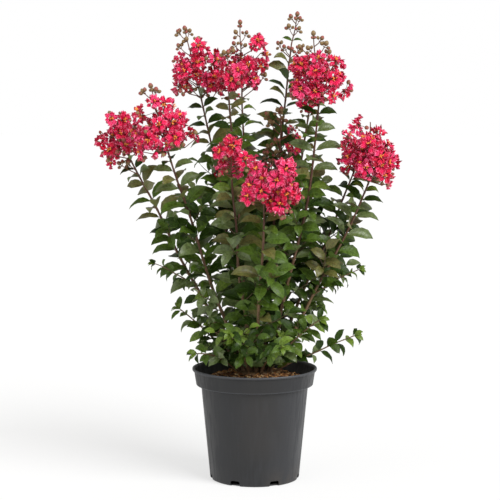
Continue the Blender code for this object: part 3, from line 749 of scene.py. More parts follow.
def notch_cutters(pot):
    """Round-topped blocks that cut the drain notches out of the foot."""
    work = bmesh.new()
    depth, width, height = 0.020, 0.020, 0.013
    for k in range(pot.notches):
        angle = -math.pi / 2 + math.tau * (k + 0.5) / pot.notches
        centre = Vector((pot.foot_radius - 0.008 + depth / 2, 0.0, 0.011 - height / 2))
        place = Matrix.Rotation(angle, 4, "Z") @ Matrix.Translation(centre)
        sized = place @ Matrix.Diagonal((depth, width, height, 1))
        corners = bmesh.ops.create_cube(work, matrix=sized)["verts"]
        outward = place.to_3x3() @ Vector((1, 0, 0))
        tops = {
            edge for corner in corners for edge in corner.link_edges
            if all(end.co.z > 0 for end in edge.verts)
            and abs((edge.verts[0].co - edge.verts[1].co).normalized().dot(outward)) > 0.9
        }
        bmesh.ops.bevel(
            work, geom=list(tops), offset=0.0042, segments=4, profile=0.5, affect="EDGES", material=-1
        )
    return mesh_of("notches", work)


def make_pot(pot):
    """The thin-walled pot with its collar, rolled lip and drain notches."""
    body = mesh_of("nursery_pot", spun(pot_outline(pot), 144))
    piece = keep("nursery_pot", body, plastic_finish(pot), ["pot"])
    cutter = bpy.data.objects.new("notches", notch_cutters(pot))
    bpy.context.scene.collection.objects.link(cutter)
    cut = piece.modifiers.new("notches", "BOOLEAN")
    cut.object, cut.operation, cut.solver = cutter, "DIFFERENCE", "EXACT"
    graph = bpy.context.evaluated_depsgraph_get()
    shaped = bpy.data.meshes.new_from_object(piece.evaluated_get(graph))
    piece.modifiers.clear()
    bpy.data.objects.remove(cutter, do_unlink=True)
    work = bmesh.new()
    work.from_mesh(shaped)
    material = body.materials[0]
    piece.data = mesh_of("nursery_pot", work, math.radians(38))
    piece.data.materials.append(material)
    if len(piece.data.polygons) == len(body.polygons):
        raise RuntimeError("the notches didn't cut into the pot")


# Bark chips: half their length, width and thickness; then tone, colour and share
CHIP_SIZES = ((0.0016, 0.0052), (0.0010, 0.0026), (0.0004, 0.0011))
CHIP_TONES = (
    ("dark", (0.080, 0.036, 0.014), 0.30),
    ("brown", (0.250, 0.100, 0.030), 0.33),
    ("tan", (0.480, 0.230, 0.075), 0.26),
    ("pale", (0.620, 0.440, 0.230), 0.11),
)


def soil_height(radius):
    return np.interp(radius, *SOIL_HEIGHTS)


def make_soil(pot):
    """Fine soil, heaped a little round the stems, under a layer of bark chips."""
    reach = 0.1128
    radii = np.linspace(0.0, reach, 40)
    outline = [(0.0, 0.1870), (0.1035, 0.1870), (0.1038, 0.1938), (reach - 0.0010, 0.1946)]
    outline += [(float(r), float(soil_height(r))) for r in radii[::-1]]
    work = spun(outline, 96)
    for corner in work.verts:
        if corner.co.z > 0.1950 and corner.co.xy.length < reach - 0.001:
            rough = noise.noise(corner.co * 70) * 0.0018 + noise.noise(corner.co * 230) * 0.0010
            corner.co.z += rough - 0.0008
    keep("soil_bed", mesh_of("soil_bed", work), soil_finish(pot.soil), ["soil"])

    rng = np.random.default_rng(CHIP_SEED)
    block = np.array([(x, y, z) for z in (-1, 1) for y in (-1, 1) for x in (-1, 1)], float)
    faces = ((0, 2, 3, 1), (4, 5, 7, 6), (0, 1, 5, 4), (2, 6, 7, 3), (0, 4, 6, 2), (1, 3, 7, 5))
    places = ((0, 0), (1, 0), (1, 1), (0, 1)) * len(faces)
    for tone, colour, share in CHIP_TONES:
        count = int(pot.chips * share)
        radius = (reach - 0.004) * np.sqrt(rng.random(count))
        angle = rng.random(count) * math.tau
        sizes = np.stack([rng.uniform(low, high, count) for low, high in CHIP_SIZES], axis=1)
        normals = unit(UP + rng.normal(0, 0.30, (count, 3)))
        headings = square_to(rng.normal(0, 1, (count, 3)), normals)
        frames = np.stack((headings, np.cross(normals, headings), normals), axis=1)
        local = block * sizes[:, None] * rng.uniform(0.62, 1.15, (count, 8, 3))
        centres = np.stack((radius * np.cos(angle), radius * np.sin(angle), soil_height(radius)), axis=1)
        centres[:, 2] += rng.uniform(0.0002, 0.0022, count)
        points = centres[:, None] + local @ frames
        mesh = mesh_of_many(f"chips_{tone}", points, (faces, places), smooth=False)
        keep(f"chips_{tone}", mesh, chip_finish(f"chip_{tone}", colour), ["soil"])


# Limbs


class Limb:
    """A line through space, with distances measured along it and a radius at both ends."""

    def __init__(self, points, thick, thin):
        self.points = np.asarray(points, float)
        steps = np.linalg.norm(np.diff(self.points, axis=0), axis=1)
        self.marks = np.concatenate(((0.0,), np.cumsum(steps)))
        self.length = float(self.marks[-1])
        self.thick, self.thin = thick, thin

    def at(self, distance):
        """Point and heading at a distance along the limb."""
        distance = min(max(distance, 0.0), self.length)
        step = int(np.clip(np.searchsorted(self.marks, distance, "right") - 1, 0, len(self.points) - 2))
        one, other = self.points[step], self.points[step + 1]
        share = (distance - self.marks[step]) / (self.marks[step + 1] - self.marks[step])
        return one + (other - one) * share, unit(other - one)

    def radius(self, distance):
        return self.thick + (self.thin - self.thick) * distance / self.length

    def path(self, begin, end, step, swell=()):
        """Points and radii of a stretch, thicker at the joints that swell lists."""
        count = max(2, int((end - begin) / step) + 1)
        distances = np.linspace(begin, end, count)
        radii = self.radius(distances)
        if len(swell):
            off = np.abs(distances[:, None] - swell).min(axis=1)
            radii = radii * (1 + 0.22 * np.exp(-((off / 0.0028) ** 2)))
        return np.array([self.at(d)[0] for d in distances]), radii


def bowed(start, end, bow, count, waver, rng):
    """Points of a limb that bends once and wavers a little on the way."""
    start, end = np.asarray(start, float), np.asarray(end, float)
    t = np.linspace(0, 1, count)[:, None]
    control = (start + end) / 2 + bow * 2
    points = start * (1 - t) ** 2 + control * 2 * t * (1 - t) + end * t**2
    phases, rates = rng.uniform(0, math.tau, 3), rng.uniform(2.0, 4.5, 3)
    sway = np.sin(t * rates * math.pi + phases) * (1, 1, 0.2) * waver
    return points + sway * np.sin(math.pi * t) ** 0.7


def limb_of(kind, start, end, bow, rng):
    count, waver, thick, thin = LIMB_KINDS[kind]
    return Limb(bowed(start, end, bow, count, waver, rng), thick, thin)


class Shrub:
    """Every limb of the shrub, worked out from its named sizes by one seeded rule."""

    def __init__(self, plant, blossom):
        rng = np.random.default_rng(LIMB_SEED)
        self.plant, self.blossom = plant, blossom
        self.stems, self.shoots, self.spikes, self.bare = {}, {}, {}, {}
        for name, (tip, bow, bare, rise, *_) in STEMS.items():
            tip = np.array(tip)
            outward = unit(tip * (1, 1, 0))
            foot = np.array((tip[0] * FOOT_FAN, tip[1] * FOOT_FAN, FOOT_HEIGHT))
            points = bowed(foot, tip, outward * bow, 90, 0.0022, rng)
            stem = Limb(points, plant.foot_thickness, plant.tip_thickness)
            self.stems[name] = stem
            self.bare[name] = stem.length * bare
            heading = stem.at(stem.length)[1]
            start = tip + heading * 0.0003
            top = tip + np.array(rise)
            bend = start + heading * SPIKE_BEND
            end = top - unit(top - bend) * 0.008
            self.spikes[name] = limb_of("spike", start, end, (bend - (start + end) / 2) * 0.12, rng)
        for name, (tip, bow) in SHOOTS.items():
            tip = np.array(tip)
            foot = unit(tip * (1, 1, 0)) * SHOOT_FOOT + (0, 0, SHOOT_FOOT_HEIGHT)
            self.shoots[name] = limb_of("shoot", foot, tip, UP * bow, rng)
        for name, (stem, share, tip) in SIDE_TWIGS.items():
            start = self.stems[stem].at(self.stems[stem].length * share)[0]
            self.shoots[name] = limb_of("long side twig", start, tip, UP * 0.004, rng)
        for k in range(SPRIGS):
            out = np.array((math.cos(k * GOLDEN), math.sin(k * GOLDEN), 0.0))
            foot = out * rng.uniform(0.020, 0.038) + (0, 0, SHOOT_FOOT_HEIGHT)
            tip = out * rng.uniform(0.050, 0.092) + (0, 0, rng.uniform(0.262, 0.318))
            self.shoots[f"sprig_{k}"] = limb_of("sprig", foot, tip, UP * 0.004, rng)
        self.joints = {}
        # A leaf is its root, heading, face, droop, length, arch, fold, twist, phase and tone. A
        # floret is its centre, facing, radius, and 1 outside or 0.5 inside a head. A bud is its
        # foot, heading, length, and whether it is among or below the flowers. A stalk is its
        # points and radii
        self.leaves, self.florets, self.buds, self.stalks = [], [], [], []
        self.twigs, self.middles = [], []
        samples = [limb.points for limb in (*self.stems.values(), *self.shoots.values())]
        self.wood = np.concatenate(samples)
        self.wood_owner = np.repeat(np.arange(len(samples)), [len(points) for points in samples])
        self.bloom(np.random.default_rng(BLOOM_SEED))
        self.leaf_out(np.random.default_rng(LEAF_SEED))

    # Blossom

    def clumps_of(self, name, rng):
        """Centre and radius of each clump of a head, and its side: -1 in front, 1 behind, 0 between."""
        tip, _, _, rise, half_width, full = STEMS[name]
        tip, rise = np.array(tip), np.array(rise)
        clumps = []
        for across, up, radius in CLUMPS.get(name, ()):
            share = up / rise[2]
            point = tip + (across, rise[1] * share, up)
            off_axis = min(1.0, abs(across - rise[0] * share) / half_width)
            room = half_width * math.sqrt(1 - off_axis**2) * 0.72
            for way in (-1, 1) if room > radius * 0.7 else (0,):
                depth = way * room * rng.uniform(0.5, 1.0)
                clumps.append((EYE + (point - EYE) * (1 + depth / (point[1] - EYE[1])), radius, way))
        if not clumps:
            axis = unit(rise)
            side = unit(np.cross(UP, axis))
            other = np.cross(axis, side)
            count = int(half_width * 340 * full)
            for k in range(count):
                share = (k + 0.5) / count
                out = side * math.cos(k * GOLDEN) + other * math.sin(k * GOLDEN)
                swell = math.sin(math.pi * (0.16 + 0.74 * share) ** 0.8)
                point = tip + rise * (0.04 + 0.84 * share) + out * (half_width - 0.016) * swell
                clumps.append((point, rng.uniform(0.013, 0.019), 0))
        return clumps

    def bloom(self, rng):
        """Flowers in clumps round each spike, buds among them and above."""
        blossom = self.blossom
        for name, spike in self.spikes.items():
            *_, half_width, full = STEMS[name]
            clumps = self.clumps_of(name, rng) if full else []
            others = [floret[0] for floret in self.florets]
            own, small = [], []
            for centre, radius, way in clumps:
                height = centre[2] - spike.points[0][2]
                reach = float(np.linalg.norm((centre - spike.at(max(0.0, height))[0])[:2]))
                root = spike.at(max(0.002, height - 0.75 * reach))[0]
                outward = unit(centre - spike.at(max(0.0, height))[0] + (0, 0, 0.004))
                bend = (root + centre) / 2 + outward * reach * 0.10 - UP * reach * 0.10
                self.stalks.append((np.array((root, bend, centre)), HEAD_STALK))
                gap = blossom.floret_gap if full > OPEN_HEAD else INNER_GAP
                for attempt in range(44):
                    way_out = unit(rng.normal(0, 1, 3) + outward * 0.9)
                    if attempt == 0 and way < 0 and radius > WIDE_CLUMP:
                        way_out = unit(np.array((rng.normal(0, 0.25), -1.0, rng.normal(0.15, 0.18))))
                    spot = centre + way_out * max(radius - FLOWER_INSET, LEAST_WAY_OUT)
                    if nearest(own, spot) < gap or nearest(others, spot) < gap * 0.85:
                        continue
                    own.append(spot)
                    facing = unit(way_out * 0.9 + outward * 0.35 + UP * 0.12 + rng.normal(0, 0.14, 3))
                    size = min(blossom.floret_radius, radius * 1.25) * rng.uniform(0.90, 1.06)
                    self.florets.append((spot, facing, size, 1.0))
                    self.hang(centre, spot - facing * CUP_DEPTH, rng)
                low = centre[2] < STEMS[name][0][2] + LOW_CLUMP
                for _ in range(4 if low else 1):
                    way_out = unit(rng.normal(0, 1, 3) + outward * 0.6 - UP * (1.3 if low else 0.4))
                    spot = centre + way_out * radius * rng.uniform(0.65, 0.95)
                    if nearest(own, spot) < BUD_FLOWER_GAP or nearest(small, spot) < BUD_GAP:
                        continue
                    small.append(spot)
                    self.buds.append((spot, way_out, blossom.bud_length * rng.uniform(0.60, 0.92), True))
                    self.hang(centre, spot, rng)
            for _ in range(int(half_width * 260) if full > OPEN_HEAD else 0):
                point, along = spike.at(spike.length * rng.uniform(0.12, 0.66))
                spot = point + square_to(rng.normal(0, 1, 3), along) * half_width * rng.uniform(0.2, 0.55)
                if nearest(own, spot) < INNER_GAP:
                    continue
                own.append(spot)
                facing = unit(spot - point + rng.normal(0, 0.006, 3))
                self.florets.append((spot, facing, blossom.floret_radius * 0.85, 0.5))
                self.hang(point, spot - facing * CUP_DEPTH, rng)
            if name in BUDS:
                self.bud_spike(name, spike, rng)

    def hang(self, start, base, rng):
        """A thin stalk from a place in the head to a flower or bud."""
        middle = (start + base) / 2 + rng.normal(0, 0.0010, 3) - UP * 0.0010
        self.stalks.append((np.array((start, middle, base)), FINE_STALK))

    def bud_spike(self, name, spike, rng):
        """Buds at the top of a spike and in small groups on stalks from it."""
        length = self.blossom.bud_length
        end, along = spike.at(spike.length)
        self.buds.append((end - along * 0.001, along, length * 1.05, False))
        level = unit(np.cross(UP, along))
        for turn in (0.4, 0.4 + math.tau / 3, 0.4 - math.tau / 3):
            out = turned(level, along, turn)
            self.buds.append((end - along * 0.0055, unit(out + along * 0.6), length * 0.62, False))
        tip, rise = np.array(STEMS[name][0]), np.array(STEMS[name][3])
        for k, (across, up) in enumerate(BUDS[name]):
            share = up / rise[2]
            depth = rng.uniform(-0.010, 0.010)
            place = tip + (across, rise[1] * max(share, 0.0) + depth, up)
            off = abs(across - rise[0] * share) + abs(depth)
            source = spike if up - off * 0.8 > 0 else self.stems[name]
            heights = source.points[:, 2]
            root = source.points[np.argmin(np.abs(heights - (place[2] - off * 0.8)))]
            heading = unit(place - root)
            bend = (root + place) / 2 + square_to(heading, UP) * off * 0.10
            self.stalks.append((np.array((root, bend, place)), BUD_STALK))
            below = off * 0.8 > up or (name == "inner_right" and k > 3)
            self.buds.append((place, unit(heading + UP * 0.5), length * rng.uniform(0.88, 1.05), below))
            aside = unit(np.cross(heading, (0.0, 1.0, 0.3)))
            flanks = (-1.0, 1.0) if off > 0.012 or up < 0.09 else (1.0,)
            for flank in flanks:
                way = unit(aside * flank + heading * 0.6 + rng.normal(0, 0.25, 3))
                base = place - heading * 0.003 + way * 0.0042
                self.stalks.append((np.array((place - heading * 0.004, base)), FLANK_STALK))
                self.buds.append((base, way, length * rng.uniform(0.66, 0.88), below))

    # Leaves

    def room_for(self, middle, tip, owner, near):
        """True where a leaf would keep clear of other stems, flowers, leaves and the pot."""
        lowest = LEAF_OVER_RIM if math.hypot(tip[0], tip[1]) < RIM_REACH else LEAF_BESIDE_POT
        if tip[2] < lowest or middle[2] < LEAF_MIDDLE_LOW:
            return False
        if nearest(self.middles, middle) < near:
            return False
        if nearest(self.wood[self.wood_owner != owner], middle) < WOOD_ROOM:
            return False
        flowers = self.floret_centres
        return nearest(flowers, middle) > FLOWER_ROOM and nearest(flowers, tip) > TIP_ROOM

    def put_leaf(self, root, axis, around, length, owner, tone, rng, near=0.0092):
        """One leaf: first as it leans by itself, then steeper or turned."""
        outward = unit(root * (1, 1, 0) + 1e-6)
        arch = rng.uniform(0.75, 1.60)
        for lean, twist in ((58, 0), (70, 22), (46, -22), (34, 0), (80, 35), (40, -45)):
            angle = math.radians(lean + rng.uniform(-7, 7))
            out = turned(around, axis, math.radians(twist))
            heading = unit(axis * math.cos(angle) + out * math.sin(angle))
            face = axis * math.sin(angle) - out * math.cos(angle)
            front = np.array((0.0, -0.92 + 8.5 * min(max(root[1] - 0.16, 0.0), 0.16), 0.66))
            face = square_to(face * 0.28 + front * 0.80 + outward * 0.12 + rng.normal(0, 0.20, 3), heading)
            down = -square_to(UP, heading)
            droop = square_to(down * 0.85 - face * 0.55, heading)
            middle = root + heading * length * 0.52 + droop * length * 0.10 * arch
            tip = root + heading * length * 0.86 + droop * length * 0.42 * arch
            if self.room_for(middle, tip, owner, near):
                fold, twist_end = rng.uniform(0.12, 0.42), rng.normal(0, 0.28)
                phase = rng.uniform(0, math.tau)
                self.leaves.append((root, heading, face, droop, length, arch, fold, twist_end, phase, tone))
                self.middles.append(middle)
                return True
        return False

    def tone_at(self, kind, share, point, rng):
        """The leaf colour of a joint: young and bronze high up, fresh low in front, and dark with painted
        shade mostly inside the shrub.
        """
        low_front = point[2] < 0.33 and point[1] < -0.02
        # Leaves inside the shrub take mostly the dark tone, painted shade
        inside = math.hypot(point[0], point[1]) < 0.07 and point[2] < 0.52
        if kind == "shoot" or low_front:
            weights = np.array((0.28, 0.48, 0.13 if low_front else 0.09, 0.00, 0.11))
        elif inside:
            weights = np.array((0.48, 0.38, 0.03, 0.00, 0.14))
        elif share > 0.72:
            weights = np.array((0.18, 0.38, 0.05, 0.24, 0.22))
        else:
            weights = np.array((0.26, 0.48, 0.04, 0.04, 0.22))
        return int(rng.choice(5, p=weights / weights.sum()))

    def side_twig(self, point, axis, around, length, owner, tone, leaf, rng):
        """A side twig with its own pairs of smaller leaves and one leaf at its end."""
        lean = math.radians(rng.uniform(42, 62))
        heading = unit(axis * math.cos(lean) + around * math.sin(lean))
        tip = point + heading * length + UP * length * rng.uniform(0.05, 0.22)
        if nearest(self.wood[self.wood_owner != owner], tip) < TIP_ROOM or tip[2] < TWIG_LOW:
            return False
        if nearest(self.floret_centres, tip) < TWIG_FLOWER_ROOM:
            return False
        twig = limb_of("side twig", point, tip, -UP * length * 0.05, rng)
        self.twigs.append(twig)
        turn = rng.uniform(0, math.tau)
        count = max(2, int((length - 0.010) / 0.0165))
        for k in range(count):
            root, along = twig.at(length * 0.20 + (length * 0.76) * k / count)
            turn += math.radians(88) + rng.uniform(-0.2, 0.2)
            for half in (0.0, math.pi):
                out = turned(level_to(along), along, turn + half)
                size = leaf * rng.uniform(0.78, 1.02) * (1 - 0.18 * k / count)
                self.put_leaf(root, along, out, size, owner, tone, rng, 0.0095)
        end, along = twig.at(twig.length)
        self.put_leaf(end, along, level_to(along) * 0.3 + along * 0.2, leaf * 0.8, owner, tone, rng, 0.006)
        return True

    def leaf_out(self, rng):
        """Give each limb its pairs of leaves and side twigs, joint by joint in turn."""
        plant = self.plant
        self.floret_centres = fields(self.florets)[0]
        queue = []
        limbs = [("stem", name, limb) for name, limb in self.stems.items()]
        limbs += [("shoot", name, limb) for name, limb in self.shoots.items()]
        for owner, (kind, name, limb) in enumerate(limbs):
            begin = self.bare[name] * 0.66 if kind == "stem" else 0.014
            room = limb.length - begin - 0.003
            count = int(room / (plant.joint_step if kind == "stem" else 0.0170))
            distances = [begin + room * k / count for k in range(count + 1)]
            self.joints[kind, name] = distances
            for k, distance in enumerate(distances):
                axis = limb.at(distance)[1]
                level = level_to(axis)
                abreast = square_to(np.array((1.0, 0.0, 0.0)), axis)
                turn = math.atan2(np.dot(np.cross(level, abreast), axis), np.dot(level, abreast))
                turn += (1 if owner % 2 else -1) * math.radians(10 if k % 2 else 64) + rng.normal(0, 0.22)
                queue.append((k, rng.random(), owner, kind, limb, distance, turn))
        queue.sort(key=lambda joint: joint[:2])
        leaf_lengths = (plant.leaf_low, plant.leaf_middle, plant.leaf_middle * 0.96, plant.leaf_high)
        for _, _, owner, kind, limb, distance, turn in queue:
            share = distance / limb.length
            point, axis = limb.at(distance)
            level = level_to(axis)
            tone = self.tone_at(kind, share, point, rng)
            if kind == "stem":
                leaf = float(np.interp(share, (0.25, 0.55, 0.82, 1.0), leaf_lengths))
                if limb is self.stems["tallest"]:
                    leaf = max(leaf, plant.leaf_middle * 0.84)
                twig_chance = 0.30 if 0.25 < share < 0.72 else 0.0
            else:
                leaf = plant.shoot_leaf * (1 - 0.30 * share**2) * (0.74 if limb.thick < 0.0018 else 1.0)
                twig_chance = 0.22 if 0.2 < share < 0.8 else 0.0
            for half in (0.0, math.pi):
                out = turned(level, axis, turn + half + rng.uniform(-0.12, 0.12))
                root = limb.at(distance + (0.0 if half else rng.uniform(0.0, 0.004)))[0]
                root = root + out * limb.radius(distance) * 0.6
                if rng.random() < twig_chance:
                    reach = rng.uniform(0.034, 0.078) if kind == "stem" else rng.uniform(0.028, 0.046)
                    if self.side_twig(point, axis, out, reach, owner, tone, leaf * 0.88, rng):
                        continue
                self.put_leaf(root, axis, out, leaf * rng.uniform(0.88, 1.08), owner, tone, rng)
            if distance > limb.length - 0.006 and kind == "shoot":
                for angle in (0.0, 2.1, 4.2):
                    out = turned(level, axis, angle)
                    end = limb.at(limb.length)[0]
                    self.put_leaf(end, axis, out * 0.6 + axis * 0.3, leaf * 0.7, owner, 2, rng, 0.005)
        top = self.spikes["tallest"]
        point, axis = top.at(top.length * 0.46)
        for way in (-1.0, 1.0):
            self.put_leaf(point, axis, np.array((way, -0.2, 0.0)), 0.023, -1, 1, rng, 0.003)


# Leaf, petal, bud shapes


# Shares of a leaf's length, its half-width there, and places across it
LEAF_STATIONS = np.array((0.0, 0.07, 0.19, 0.35, 0.53, 0.71, 0.87, 1.0))
LEAF_WIDTHS = np.array((0.05, 0.09, 0.56, 0.90, 1.00, 0.80, 0.36, 0.02))
LEAF_COLUMNS = np.array((-1.0, -0.52, 0.0, 0.52, 1.0))
LEAF_STEPS = 56
KEEL = -1

# Shares of a petal's length, its half-width there, and places across it
PETAL_ROWS = np.array((0.0, 0.34, 0.46, 0.64, 0.84, 1.0))
PETAL_WIDTHS = np.array((0.038, 0.046, 0.17, 0.29, 0.32, 0.21))
PETAL_COLUMNS = np.linspace(-1, 1, 6)

# Radius and height of a bud's rings, as shares of its length
BUD_OUTLINE = ((0.12, 0.0), (0.33, 0.13), (0.44, 0.38), (0.42, 0.62), (0.24, 0.88))

# Radius and height of a cup's rings, as shares of the flower's radius, and their turn in steps
CUP_RINGS = ((0.05, -0.36, 0.0), (0.15, -0.20, 0.0), (0.17, -0.02, 0.0), (0.36, 0.05, 0.5))


def sheet_corners(rows, columns):
    """Row and column of the four corners of each face of a sheet of points."""
    return [
        ((row, column), (row + 1, column), (row + 1, column + 1), (row, column + 1))
        for row in range(rows - 1) for column in range(columns - 1)
    ]


def leaf_faces():
    """Faces of one leaf and their map: upper side, lower side over the keel, and the ends."""
    rows, columns = len(LEAF_STATIONS), len(LEAF_COLUMNS)
    edge = columns - 1
    faces, places = [], []

    def add(corners, under):
        face, place = [], []
        for row, column in corners:
            on_keel = column == KEEL
            face.append(rows * columns + row if on_keel else row * columns + column)
            aside = 0.0 if on_keel else LEAF_COLUMNS[column]
            place.append((LEAF_STATIONS[row], (0.5 + 0.46 * aside) / 2 + under))
        faces.append(face)
        places.append(place)

    for corners in sheet_corners(rows, columns):
        add(corners, 0.0)
    for row in range(rows - 1):
        add(((row, 0), (row, KEEL), (row + 1, KEEL), (row + 1, 0)), 0.5)
        add(((row, KEEL), (row, edge), (row + 1, edge), (row + 1, KEEL)), 0.5)
    for row, way in ((0, 1), (rows - 1, -1)):
        for left in (0, 2):
            add(((row, left), (row, left + 1), (row, left + 2), (row, KEEL))[::way], 0.5)
            places[-1] = [(LEAF_STATIONS[row], 0.75)] * 4
    return faces, places


def leaf_mesh(name, leaves, width_share):
    """All leaves of one tone, each folded, arched, twisted and waved by its own numbers."""
    own = fields(leaves)
    root, heading, face, droop = (vectors[:, None] for vectors in own[:4])
    length, arch, fold, twist, phase = (numbers[:, None, None] for numbers in own[4:9])
    stations, aside = LEAF_STATIONS[:, None], LEAF_COLUMNS

    picks = np.round(LEAF_STATIONS * LEAF_STEPS).astype(int)
    bend = arch * (np.linspace(0, 1, LEAF_STEPS + 1)[:, None] ** 1.25 - 0.10)
    forward, drop = (
        np.insert(np.cumsum(part(bend[:, :-1]) / LEAF_STEPS, axis=1), 0, 0.0, axis=1)[:, picks]
        for part in (np.cos, np.sin)
    )
    middle = root + (heading * forward + droop * drop) * length
    cosine, sine = np.cos(bend[:, picks]), np.sin(bend[:, picks])
    hinge = np.cross(heading, droop)
    along_hinge = hinge * np.sum(hinge * face, axis=2, keepdims=True)
    normal = face * cosine + np.cross(hinge, face) * sine + along_hinge * (1 - cosine)
    side = np.cross(heading * cosine + droop * sine, normal)
    turn = twist * stations
    side, normal = side * np.cos(turn) + normal * np.sin(turn), normal * np.cos(turn) - side * np.sin(turn)

    half = length * width_share / 2 * LEAF_WIDTHS[:, None]
    crown = np.abs(aside) * (1.35 - 0.35 * np.abs(aside))
    wave = np.sin(stations * 11 + phase + aside * 1.3) * aside**2
    lift = half * (crown * np.sin(fold) + wave * 0.11)
    across = half * aside * np.cos(fold)
    upper = middle[:, :, None] + side[:, :, None] * across[..., None] + normal[:, :, None] * lift[..., None]
    keel = middle - normal * 0.00045
    points = np.concatenate((upper.reshape(len(leaves), -1, 3), keel), axis=1)
    mesh = mesh_of_many(name, points, leaf_faces())

    ends = np.empty(len(mesh.edges) * 2, int)
    mesh.edges.foreach_get("vertices", ends)
    within = ends.reshape(-1, 2) % points.shape[1]
    column = np.where(within < upper[0, ..., 0].size, within % len(aside), KEEL)
    rim = (column[:, 0] == column[:, 1]) & np.isin(column[:, 0], (0, len(aside) - 1))
    mesh.attributes.new("sharp_edge", "BOOLEAN", "EDGE").data.foreach_set("value", rim)
    return mesh


def petal_mesh(name, petals):
    """All petals of one tone: a thin claw and a blade that ruffles towards its edge."""
    centre, out, facing, *own = fields(petals)
    size, cup, phase, ruffle = (numbers[:, None, None] for numbers in own)
    rows, aside = PETAL_ROWS[:, None], PETAL_COLUMNS
    rise = cup - 0.75 * rows
    step = np.diff(PETAL_ROWS, prepend=0.0)[:, None]
    forward, height = (np.cumsum(part(rise) * step, axis=1) for part in (np.cos, np.sin))
    edge = np.clip((rows - 0.3) / 0.7, 0, 1)
    wavy = np.sin(aside * 5.2 + phase + rows * 4.0) + 0.6 * np.sin(aside * 9.0 - phase * 2)
    lift = wavy * edge * ruffle
    back = (0.060 * np.sin(aside * 8 + phase * 3) - 0.15 * aside**2) * edge
    shifts = (
        (out, (forward + back) * size), (facing, (height + lift * 0.16) * size),
        (np.cross(facing, out), aside * PETAL_WIDTHS[:, None] * size * (1 - 0.10 * lift)),
    )
    points = centre[:, None, None] + sum(way[:, None, None] * shift[..., None] for way, shift in shifts)
    corners = [face[::-1] for face in sheet_corners(len(PETAL_ROWS), len(PETAL_COLUMNS))]
    faces = [[row * len(PETAL_COLUMNS) + column for row, column in face] for face in corners]
    places = [
        (PETAL_COLUMNS[column] * 0.48 + 0.5, PETAL_ROWS[row] * 0.96 + 0.02)
        for face in corners for row, column in face
    ]
    return mesh_of_many(name, points, (faces, places))


def bud_mesh(name, roots, headings, lengths, sides=7):
    """Round buds that end in a point."""
    rays = spokes(headings, math.tau * np.arange(sides) / sides)
    axis, length = headings[:, None], lengths[:, None, None]
    rings = [roots[:, None] + (axis * height + rays * radius) * length for radius, height in BUD_OUTLINE]
    points = np.concatenate((*rings, roots[:, None] + axis * length), axis=1)
    heights = [height for _, height in BUD_OUTLINE]
    last = (len(rings) - 1) * sides
    steps = [(k / sides, (k + 1) / sides) for k in range(sides)]
    walls = [
        ((left, low), (right, low), (right, high), (left, high))
        for low, high in zip(heights, heights[1:]) for left, right in steps
    ]
    tips = [(last + k, last + (k + 1) % sides, last + sides) for k in range(sides)]
    top = heights[-1]
    tip_map = [((left, top), (right, top), ((left + right) / 2, 1.0)) for left, right in steps]
    foot_map = [((left + right) / 2, 0.0) for left, right in steps]
    foot = [range(sides)[::-1]]
    sheath = ring_faces(len(rings), sides)
    return mesh_of_many(name, points, (sheath, walls), (tips, tip_map), (foot, foot_map))


def cup_mesh(name, centres, facings, sizes):
    """A six-lobed cup behind each flower."""
    axis, size = facings[:, None], sizes[:, None, None]
    rings = []
    for radius, height, shift in CUP_RINGS:
        rays = spokes(facings, math.tau * (np.arange(6) + shift) / 6)
        rings.append(centres[:, None] + (rays * radius + axis * height) * size)
    lobes = [(12 + k, 12 + (k + 1) % 6, 18 + k) for k in range(6)]
    return mesh_of_many(name, np.concatenate(rings, axis=1), (ring_faces(3, 6),), (lobes,))


def stamen_mesh(name, centres, facings, sizes, each, rng):
    """Tufts of club-shaped stamens: a thin filament and its anther in one."""
    centres, facings, sizes = (np.repeat(values, each, axis=0) for values in (centres, facings, sizes))
    side, other = round_about(facings)
    angle = rng.uniform(0, math.tau, len(centres))[:, None]
    lean = rng.uniform(0.05, 0.85, len(centres))[:, None]
    heading = unit(facings + (side * np.cos(angle) + other * np.sin(angle)) * lean)
    reach = heading * (sizes * rng.uniform(0.34, 0.62, len(centres)))[:, None]
    side, other = (way * sizes[:, None] * 0.060 for way in round_about(heading))
    foot, neck, tip = centres - facings * 0.0005, centres + reach * 0.74, centres + reach
    points = np.stack((foot, neck + side, neck + other, neck - side, neck - other, tip), axis=1)
    faces = [(0, 2, 1), (0, 3, 2), (0, 4, 3), (0, 1, 4), (5, 1, 2), (5, 2, 3), (5, 3, 4), (5, 4, 1)]
    return mesh_of_many(name, points, (faces,))


# Operators


def shrub_of(context):
    """The shrub's limbs, leaves and flowers, worked out once for all operators."""
    if not hasattr(shrub_of, "made"):
        shrub_of.made = Shrub(context.scene.myrtle_plant, context.scene.myrtle_blossom)
    return shrub_of.made


class MYRTLE_OT_pot(bpy.types.Operator):
    """Make the nursery pot"""

    bl_idname = "myrtle.pot"
    bl_label = "Pot"

    def execute(self, context):
        make_pot(context.scene.myrtle_pot)
        return {"FINISHED"}


class MYRTLE_OT_soil(bpy.types.Operator):
    """Make the soil and its bark chips"""

    bl_idname = "myrtle.soil"
    bl_label = "Soil"

    def execute(self, context):
        make_soil(context.scene.myrtle_pot)
        return {"FINISHED"}


